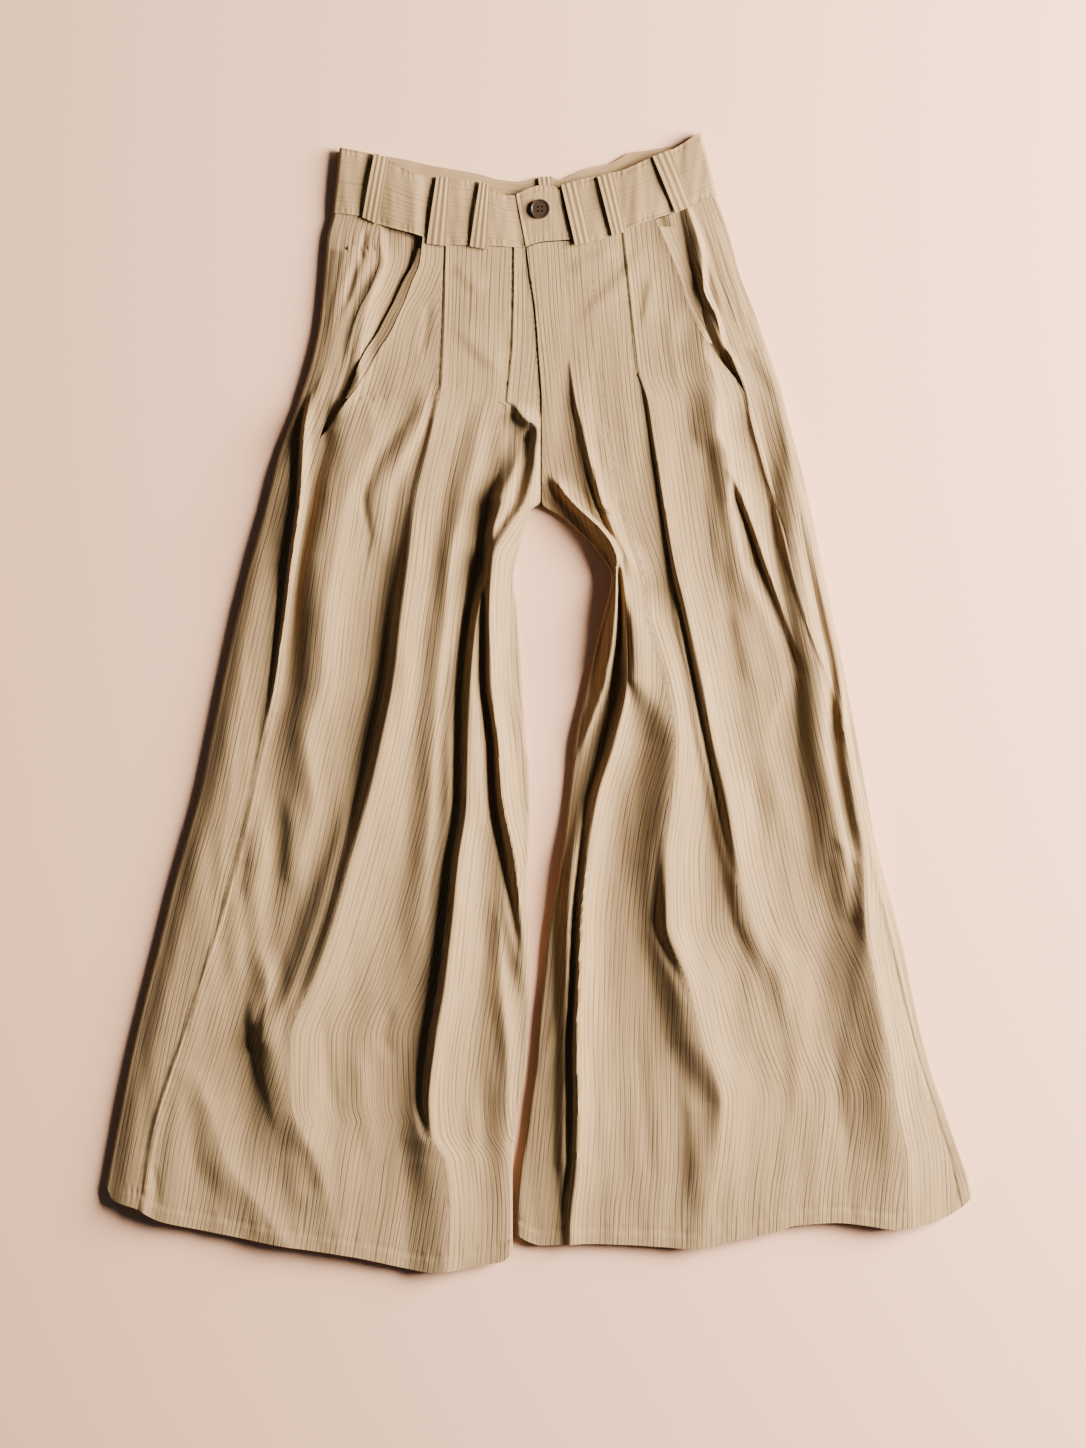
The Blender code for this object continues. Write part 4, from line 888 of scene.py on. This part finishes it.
def front_panel(side, finish):
    """The front panel: columns gathered round its folds, then a rolled inner edge."""
    inwards = TOWARDS_CENTRE[side]
    down_at, hem_at = leg_rows(side)
    v = np.linspace(0.0, 1.0, LEG_ROWS)
    first = share_of_line(side, lambda down: front_edge(side, down), v, down_at)
    fine = first[:, None] + (1.0 - first[:, None]) * np.linspace(0.0, 1.0, FINE_SAMPLES)
    fine_down = down_at(fine, v[:, None])
    fine_across = across_at(side, fine, fine_down) + inwards * SEAM_GAP / 2.0 * np.linspace(1.0, 0.0, FINE_SAMPLES)
    weight = fold_weight(side, fine_across, fine_down)
    edge_down = down_at(np.ones_like(v), v)
    rolled = below_crotch(edge_down)
    roll_width = FLAT_END_WIDTH + (ROLL_WIDTH - FLAT_END_WIDTH) * rolled
    turn = FLAT_END_TURN + (ROLL_END_TURN - FLAT_END_TURN) * rolled
    stop = fine_across[:, -1] - inwards * (SEAM_GAP / 2.0 + roll_width)
    shares = np.zeros((LEG_ROWS, FRONT_COLUMNS))
    acrosses = np.zeros((LEG_ROWS, FRONT_COLUMNS))
    for row in range(LEG_ROWS):
        places = inwards * fine_across[row]
        limit = np.interp(inwards * stop[row], places, fine[row])
        steps = (weight[row, 1:] + weight[row, :-1]) / 2.0 * np.diff(fine[row])
        total = np.concatenate([[0.0], np.cumsum(steps)])
        whole = np.interp(limit, fine[row], total)
        shares[row] = np.interp(np.linspace(0.0, whole, FRONT_COLUMNS), total, fine[row])
        acrosses[row] = np.interp(shares[row], fine[row], fine_across[row])
    downs = down_at(shares, v[:, None])
    to_hem = hem_at(shares) - downs
    heights = top_height(side, acrosses, downs) + hem_relief(side, acrosses, downs, to_hem)
    last_height = heights[:, -1]
    half = (last_height - FRONT_CLEARANCE) / 2.0
    angle = turn[:, None] * np.arange(1, ROLL_COLUMNS + 1) / ROLL_COLUMNS
    roll_across = stop[:, None] + inwards * roll_width[:, None] * np.sin(angle)
    roll_height = last_height[:, None] - half[:, None] * (1.0 - np.cos(angle))
    points = np.concatenate([
        to_frame(acrosses, downs, heights),
        to_frame(roll_across, np.repeat(edge_down[:, None], ROLL_COLUMNS, axis=1), roll_height),
    ], axis=1)
    ribs = rib_place(side, acrosses, downs)
    round_edge = ribs[:, -1:] + inwards * (roll_width[:, None] + half[:, None]) / 2.0 * angle
    across_ribs = np.concatenate([ribs, round_edge], axis=1)
    along_ribs = np.concatenate([downs, np.repeat(edge_down[:, None], ROLL_COLUMNS, axis=1)], axis=1)
    piece = cloth_shell(f"front_{side}_cloth", points, (across_ribs, along_ribs), CLOTH_WALL, -inwards, finish)
    declare(piece, f"front_{side}")
    return piece


def back_panel(side, finish):
    """The back panel: flat on the floor, rolled round the outer edge, and back over to the side seam."""
    inwards = TOWARDS_CENTRE[side]
    down_at, hem_at = leg_rows(side)
    v = np.linspace(0.0, 1.0, LEG_ROWS)[:, None]
    flat_share = 1.0 - np.arange(BACK_FLAT_COLUMNS) / BACK_FLAT_COLUMNS + np.zeros_like(v)
    flat_down = down_at(flat_share, v)
    flat_across = across_at(side, flat_share, flat_down)
    flat_across[:, 0] -= inwards * (SEAM_GAP / 2.0 + BACK_INSET * below_crotch(flat_down[:, 0]))
    down = down_at(np.zeros_like(v), v)
    edge = read_curve(OUTER_EDGE[side], down)
    width = np.abs(read_curve(INNER_EDGE[side], down) - edge)
    turn_share = ROLL_WIDTH / width
    turn_down = down_at(turn_share, v)
    turned = across_at(side, turn_share, turn_down)
    top = top_height(side, turned, turn_down)
    angle = math.pi * np.arange(ROLL_COLUMNS + 1) / ROLL_COLUMNS
    out = np.sin(angle)
    roll_across = turned + (edge - turned) * out
    roll_down = turn_down + (down - turn_down) * out
    roll_height = top / 2.0 * (1.0 - np.cos(angle))
    seam = share_of_line(side, lambda at: read_curve(SIDE_SEAM[side], at), v[:, 0], down_at)[:, None]
    part = np.linspace(0.0, 1.0, RETURN_COLUMNS + 1)[1:]
    share = turn_share + (seam - turn_share) * part
    row_down = down_at(share, v)
    across = across_at(side, share, row_down) - inwards * SEAM_GAP / 2.0 * part
    height = top_height(side, across, row_down) + hem_relief(side, across, row_down, hem_at(share) - row_down) * part
    points = np.concatenate([
        to_frame(flat_across, flat_down, 0.0),
        to_frame(roll_across, roll_down, roll_height),
        to_frame(across, row_down, height),
    ], axis=1)
    outer = read_curve(OUTER_EDGE[side], row_down)
    place = np.concatenate([
        flat_across, edge - inwards * (4.0 - 4.0 * angle / math.pi) * np.ones_like(v), across - outer + edge * 0.0,
    ], axis=1)
    place[:, BACK_FLAT_COLUMNS:BACK_FLAT_COLUMNS + ROLL_COLUMNS + 1] -= edge
    along = np.concatenate([flat_down, roll_down, row_down], axis=1)
    piece = cloth_shell(f"back_{side}_cloth", points, (place, along), CLOTH_WALL, -inwards, finish)
    declare(piece, f"back_{side}")
    return piece


def hip_piece(side, finish):
    """The piece behind the pocket's mouth, which sinks below the front panel's edge."""
    inwards = TOWARDS_CENTRE[side]
    down_at, _ = leg_rows(side)
    v = np.linspace(0.0, 0.35, 1400)
    seam = share_of_line(side, lambda down: read_curve(SIDE_SEAM[side], down), v, down_at)
    pocket = share_of_line(side, lambda down: read_curve(POCKET_EDGE[side], down), v, down_at)
    above = down_at(pocket, v) < POCKET_EDGE[side][-1][0] - 1.0
    v = np.linspace(0.0, v[above][-1], HIP_ROWS)
    seam = share_of_line(side, lambda down: read_curve(SIDE_SEAM[side], down), v, down_at)[:, None]
    pocket = share_of_line(side, lambda down: read_curve(POCKET_EDGE[side], down), v, down_at)[:, None]
    part = np.linspace(0.0, 1.0, HIP_COLUMNS)
    share = seam + (pocket - seam) * part
    down = down_at(share, v[:, None])
    across = across_at(side, share, down) + inwards * SEAM_GAP * (0.5 - part)
    sink = HIP_SINK[side]
    mouth = read_curve(POCKET_EDGE[side], down)
    near = ease(1.0 - np.abs(across - mouth) / sink["width"])
    height = top_height(side, across, down) - HIP_STEP * ease(part * HIP_STEP_RATE) - sink["depth"] * near
    height = np.maximum(height, LOWEST_TOP)
    place = across - read_curve(SIDE_SEAM[side], down)
    piece = cloth_shell(f"hip_{side}_cloth", to_frame(across, down, height),
    (place, down), CLOTH_WALL, -inwards, finish)
    declare(piece, f"hip_{side}")
    return piece


def pocket_strip(side, finish):
    """The turned edge that shows in the pocket's mouth, just below the front panel's edge."""
    inwards = TOWARDS_CENTRE[side]
    table = POCKET_STRIP_WIDTH[side]
    down = np.linspace(table[0][0], table[-1][0], HIP_ROWS)[:, None]
    mouth = read_curve(POCKET_EDGE[side], down) - inwards * SEAM_GAP / 2.0
    width = read_curve(table, down)
    part = np.linspace(1.0, 0.0, 9)
    across = mouth - inwards * width * part
    height = top_height(side, across, down) - STRIP_STEP - 0.7 * part ** 2
    points = to_frame(across, down + 0.0 * across, height)
    piece = cloth_shell(f"pocket_edge_{side}_cloth", points, (width * part, down + 0.0 * across), STRIP_WALL, -inwards,
                        finish)
    declare(piece, f"pocket_edge_{side}")
    return piece


def band_height(side, across):
    rows = sorted(BAND_WAVES[side])
    return BAND_TOP_HEIGHT + read_curve(rows, across)


def edge_grooves(w, length):
    """Grooves of the sewing near both edges of a band, with w from 0 to 1 across its length."""
    near = np.minimum(w, 1.0 - w) * length
    sewing = ((near - EDGE_SEWING["inset"]) / EDGE_SEWING["width"]) ** 2
    return -EDGE_SEWING["depth"] * np.exp(-sewing)


def edge_pucker(w, length, along, depth, spacing):
    """Puckers along the sewing near both edges of a band."""
    off_sewing = np.minimum(w, 1.0 - w) * length - EDGE_SEWING["inset"]
    return pucker(off_sewing, along, depth, 4.0, spacing)


def waistband_front(side, finish):
    """The front waistband, rolled over at the outer end."""
    inwards = TOWARDS_CENTRE[side]
    top_ends = BAND_TOP[side][0][0], BAND_TOP[side][-1][0]
    bottom_ends = BAND_BOTTOM[side][0][0], BAND_BOTTOM[side][-1][0]
    w = np.linspace(0.0, 1.0, BAND_GRID[0])[:, None]
    roll = [ROLL_END_TURN * step / ROLL_COLUMNS for step in range(ROLL_COLUMNS, 0, -1)]
    angle = np.array(roll + [0.0] * BAND_GRID[1])
    t = np.array([0.0] * ROLL_COLUMNS + list(np.linspace(0.0, 1.0, BAND_GRID[1])))
    inset = inwards * ROLL_WIDTH * (1.0 - t) * (1.0 - np.sin(angle))
    top_across = top_ends[0] + (top_ends[1] - top_ends[0]) * t + inset
    bottom_across = bottom_ends[0] + (bottom_ends[1] - bottom_ends[0]) * t + inset
    across = top_across + (bottom_across - top_across) * w
    top = read_curve(BAND_TOP[side], top_across)
    bottom = read_curve(BAND_BOTTOM[side], bottom_across)
    height = band_height(side, across) + BAND_CROWN * np.sin(math.pi * w) + edge_grooves(w, BAND_DEPTH)
    height = height + edge_pucker(w, BAND_DEPTH, across, 0.22, 8.0)
    height = height + 0.5 * crinkle(across * 2.2 + 90.0, w * 180.0 + 40.0)
    half = (height - BAND_BACK_WALL - SEAM_GAP) / 2.0
    height = height - half * (1.0 - np.cos(angle))
    points = to_frame(across, top + (bottom - top) * w, height)
    ribs = (w * BAND_DEPTH + 0.0 * across, across + 0.0 * w)
    piece = cloth_shell(f"waistband_front_{side}_cloth", points, ribs, BAND_WALL, -inwards, finish)
    declare(piece, f"waistband_front_{side}")
    return piece


def between_edges(top_rows, bottom_rows, columns, w):
    """Across and down on a grid between two edges, each read at the same part of its length."""
    t = np.linspace(0.0, 1.0, columns)
    top_across = top_rows[0][0] + (top_rows[-1][0] - top_rows[0][0]) * t
    bottom_across = bottom_rows[0][0] + (bottom_rows[-1][0] - bottom_rows[0][0]) * t
    top = read_curve(top_rows, top_across)
    bottom = read_curve(bottom_rows, bottom_across) - SEAM_GAP
    across = top_across + (bottom_across - top_across) * w
    return across, top + (bottom - top) * w


def waistband_back(finish):
    """The back waistband, its inner face up."""
    w = np.linspace(0.0, 1.0, BACK_BAND_GRID[0])[:, None]
    across, down = between_edges(BACK_BAND_TOP, BACK_BAND_BOTTOM, BACK_BAND_GRID[1], w)
    uneven = 0.5 + 0.5 * np.sin(across / 9.0 + 2.0 * np.sin(across / 31.0))
    lip = 0.5 * uneven * np.exp(-((w - 0.06) / 0.08) ** 2)
    groove = 0.3 * np.exp(-(((w - 0.12) / 0.03) ** 2))
    height = BAND_BACK_WALL + lip - groove
    points = to_frame(across, down, height)
    ribs = (w * BACK_BAND_DEPTH + 0.0 * across, across)
    wall = BAND_BACK_WALL - 0.2
    piece = cloth_shell("waistband_back_cloth", points, ribs, wall, -1.0, finish)
    declare(piece, "waistband_back")
    return piece


def tab_height(across, w):
    return BAND_TOP_HEIGHT + TAB_STEP + BAND_CROWN * np.sin(math.pi * w) + 0.0 * across


def waistband_tab(finish):
    """The tab, puffed a little beside its button and sunk on the other side of it."""
    w = np.linspace(0.0, 1.0, TAB_GRID[0])[:, None]
    across, down = between_edges(TAB_TOP, TAB_BOTTOM, TAB_GRID[1], w)
    side_w = np.linspace(0.0, 1.0, TAB_GRID[1])[None, :]
    height = tab_height(across, w) + edge_grooves(w, TAB_DEPTH) + edge_grooves(side_w, TAB_WIDTH)
    puff = np.exp(-(((across - 552.0) / 9.0) ** 2) - (((down - 222.0) / 10.0) ** 2))
    sunk = np.exp(-(((across - 530.0) / 7.0) ** 2) - (((down - 232.0) / 8.0) ** 2))
    height = height + 0.9 * puff - 0.6 * sunk
    height = height + edge_pucker(w, TAB_DEPTH, across, 0.2, 7.0)
    ribs = (across, down)
    piece = cloth_shell("waistband_tab_cloth", to_frame(across, down, height), ribs, BAND_WALL, -1.0, finish)
    declare(piece, "waistband_tab")
    return piece


def loop_grid(loop, under):
    """A belt loop's points: ridged along its two stitched edges, bulging a little at its middle."""
    w = np.linspace(0.0, 1.0, LOOP_GRID[0])[:, None]
    t = np.linspace(0.0, 1.0, LOOP_GRID[1])[None, :]
    (a0, d0), (a1, d1) = loop["top"]
    (a2, d2), (a3, d3) = loop["bottom"]
    top_across = a0 + (a1 - a0) * t
    bottom_across = a2 + (a3 - a2) * t
    across = top_across + (bottom_across - top_across) * w
    down = (d0 + (d1 - d0) * t) * (1.0 - w) + (d2 + (d3 - d2) * t) * w
    carried = under(across, w).max(axis=1, keepdims=True)
    height = carried + SEAM_GAP + LOOP_WALL + LOOP_BULGE * np.sin(math.pi * w)
    ridge = 0.35 * np.cos(2.0 * math.pi * t * 3.0) * np.clip(np.sin(math.pi * t) * 3.0, 0.0, 1.0)
    ribs = (t * LOOP_SIZE["width"] + 0.0 * across, w * LOOP_SIZE["length"] + 0.0 * across)
    return to_frame(across, down, height + ridge), ribs


def belt_loops(finish):
    pieces = []
    for loop in BELT_LOOPS:
        side = loop["side"]

        def under(across, w, side=side):
            return band_height(side, across) + BAND_CROWN * np.sin(math.pi * w) + LOOP_LIFT

        points, ribs = loop_grid(loop, under)
        piece = cloth_shell(loop["name"] + "_cloth", points, ribs, LOOP_WALL, -1.0, finish)
        declare(piece, loop["name"])
        pieces.append(piece)
    points, ribs = loop_grid(BACK_LOOP, lambda across, w: BAND_BACK_WALL + 0.3 + 0.0 * across)
    piece = cloth_shell("belt_loop_back_cloth", points, ribs, LOOP_WALL, -1.0, finish)
    declare(piece, "belt_loop_back")
    return pieces


def new_material(name):
    made = bpy.data.materials.new(name)
    made.use_nodes = True
    nodes = made.node_tree.nodes
    nodes.clear()
    output = nodes.new("ShaderNodeOutputMaterial")
    shader = nodes.new("ShaderNodeBsdfPrincipled")
    made.node_tree.links.new(shader.outputs["BSDF"], output.inputs["Surface"])
    return made, nodes, made.node_tree.links, shader


def blend_colours(nodes, links, shader, dark, light, share):
    """The base colour, from dark at a share of 0 to light at 1."""
    mix = nodes.new("ShaderNodeMix")
    mix.data_type = "RGBA"
    mix.inputs["A"].default_value = dark
    mix.inputs["B"].default_value = light
    links.new(share, mix.inputs["Factor"])
    links.new(mix.outputs["Result"], shader.inputs["Base Color"])


def ribbed_cloth(name, light, dark, rib_depth):
    """Matte cotton with fine uneven ribs that follow the grain attribute, in millimetres, with painted shade darkening
    the rib grooves.
    """
    made, nodes, links, shader = new_material(name)
    shader.inputs["Roughness"].default_value = 0.88
    shader.inputs["Specular IOR Level"].default_value = 0.25
    shader.inputs["Sheen Weight"].default_value = 0.12
    shader.inputs["Sheen Roughness"].default_value = 0.5
    grain = nodes.new("ShaderNodeAttribute")
    grain.attribute_name = "grain"

    def streaks(across_scale, along_scale, detail, seed):
        mapping = nodes.new("ShaderNodeMapping")
        mapping.inputs["Scale"].default_value = (across_scale, along_scale, 1.0)
        mapping.inputs["Location"].default_value = (seed, seed * 0.37, seed * 1.7)
        links.new(grain.outputs["Vector"], mapping.inputs["Vector"])
        noise = nodes.new("ShaderNodeTexNoise")
        noise.inputs["Scale"].default_value = 1.0
        noise.inputs["Detail"].default_value = detail
        noise.inputs["Roughness"].default_value = 0.55
        links.new(mapping.outputs["Vector"], noise.inputs["Vector"])
        return noise.outputs["Fac"]

    def remap(value, low, high, out_low=0.0, out_high=1.0):
        node = nodes.new("ShaderNodeMapRange")
        node.interpolation_type = "SMOOTHSTEP"
        node.inputs["From Min"].default_value = low
        node.inputs["From Max"].default_value = high
        node.inputs["To Min"].default_value = out_low
        node.inputs["To Max"].default_value = out_high
        links.new(value, node.inputs["Value"])
        return node.outputs["Result"]

    def math_node(operation, a, b):
        node = nodes.new("ShaderNodeMath")
        node.operation = operation
        for socket, value in ((node.inputs[0], a), (node.inputs[1], b)):
            if isinstance(value, float):
                socket.default_value = value
            else:
                links.new(value, socket)
        return node.outputs["Value"]

    wander = streaks(0.05, 0.004, 2.0, 3.1)
    parts = nodes.new("ShaderNodeSeparateXYZ")
    links.new(grain.outputs["Vector"], parts.inputs["Vector"])
    turns = math_node("MULTIPLY", parts.outputs["X"], 2.0 * math.pi / RIB_SPACING)
    turns = math_node("ADD", turns, math_node("MULTIPLY", wander, 16.0))
    groove = remap(math_node("SINE", turns, 0.0), 0.25, 1.0)
    strength = remap(streaks(0.11, 0.009, 2.0, 17.7), 0.34, 0.66, 0.25, 1.0)
    groove = math_node("MULTIPLY", groove, strength)
    threads = remap(streaks(1.1, 0.018, 2.0, 11.3), 0.35, 0.68)
    weave = streaks(2.6, 2.2, 2.0, 23.9)
    mottle = streaks(0.035, 0.012, 3.0, 41.0)
    relief = math_node("SUBTRACT", math_node("MULTIPLY", threads, 0.35), math_node("MULTIPLY", groove, 0.65))
    tone = math_node("ADD", math_node("MULTIPLY", threads, 0.22), math_node("MULTIPLY", mottle, 0.30))
    tone = math_node("ADD", tone, math_node("MULTIPLY", weave, 0.16))
    # Painted shade: the colour is darkened in the rib grooves, where the bump sinks. It is also lighter where the
    # threads and the weave stand up.
    tone = math_node("SUBTRACT", math_node("ADD", tone, 0.42), math_node("MULTIPLY", groove, 0.42))
    blend_colours(nodes, links, shader, dark, light, remap(tone, 0.0, 1.0))
    bump = nodes.new("ShaderNodeBump")
    bump.inputs["Strength"].default_value = 1.0
    bump.inputs["Distance"].default_value = rib_depth * MM
    links.new(math_node("ADD", relief, math_node("MULTIPLY", weave, 0.10)), bump.inputs["Height"])
    links.new(bump.outputs["Normal"], shader.inputs["Normal"])
    return made


def button_material():
    """Glossy dark brown horn."""
    made, nodes, links, shader = new_material("button_horn")
    shader.inputs["Roughness"].default_value = 0.22
    shader.inputs["Coat Weight"].default_value = 0.4
    noise = nodes.new("ShaderNodeTexNoise")
    noise.inputs["Scale"].default_value = 140.0
    noise.inputs["Detail"].default_value = 5.0
    blend_colours(nodes, links, shader, BUTTON_DARK, BUTTON_BROWN, noise.outputs["Fac"])
    return made


def floor_material():
    """Plain matte paper."""
    made, _, _, shader = new_material("paper_floor")
    shader.inputs["Roughness"].default_value = 0.95
    shader.inputs["Base Color"].default_value = FLOOR
    return made


def floor():
    bpy.ops.mesh.primitive_plane_add(size=FLOOR_SIZE, location=(0.0, 0.0, -FLOOR_DROP))
    plane = bpy.context.active_object
    plane.name = "floor"
    plane.data.materials.append(floor_material())


def aim(thing, target):
    direction = Vector(target) - thing.location
    thing.rotation_euler = direction.to_track_quat("-Z", "Y").to_euler()


def lights():
    lamp = bpy.data.lights.new("key", "AREA")
    lamp.shape = "SQUARE"
    lamp.size = KEY["size"]
    lamp.energy = KEY["energy"]
    lamp.color = KEY["colour"]
    key = bpy.data.objects.new("key", lamp)
    bpy.context.scene.collection.objects.link(key)
    key.location = KEY["place"]
    aim(key, (0.0, 0.0, 0.0))
    world = bpy.data.worlds.new("studio")
    bpy.context.scene.world = world
    world.use_nodes = True
    background = world.node_tree.nodes["Background"]
    background.inputs["Color"].default_value = SURROUND["colour"]
    background.inputs["Strength"].default_value = SURROUND["strength"]


def camera():
    """Straight above the photo's centre, with the photo's frame in view on the floor."""
    data = bpy.data.cameras.new("camera")
    data.sensor_fit = "VERTICAL"
    data.sensor_height = SENSOR_MM
    data.lens = SENSOR_MM * CAMERA_HEIGHT / (VIEW_MM["height"] * MM)
    eye = bpy.data.objects.new("camera", data)
    bpy.context.scene.collection.objects.link(eye)
    place = to_frame(VIEW_MM["centre_across"], VIEW_MM["centre_down"], CAMERA_HEIGHT / MM)
    eye.location = tuple(float(value) for value in place)
    eye.rotation_euler = (0.0, 0.0, 0.0)
    bpy.context.scene.camera = eye


def main():
    camera()
    lights()
    floor()
    cloth = ribbed_cloth("ribbed_cotton", CLOTH_LIGHT, CLOTH_DARK, RIB_DEPTH["cloth"])
    band = ribbed_cloth("waistband_cotton", CLOTH_LIGHT, BAND_DARK, RIB_DEPTH["band"])
    for side in ("right", "left"):
        front_panel(side, cloth)
        back_panel(side, cloth)
        hip_piece(side, cloth)
        pocket_strip(side, cloth)
        waistband_front(side, band)
    waistband_back(band)
    waistband_tab(band)
    belt_loops(band)
    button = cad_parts["button"]
    button.data.materials.clear()
    button.data.materials.append(button_material())


main()
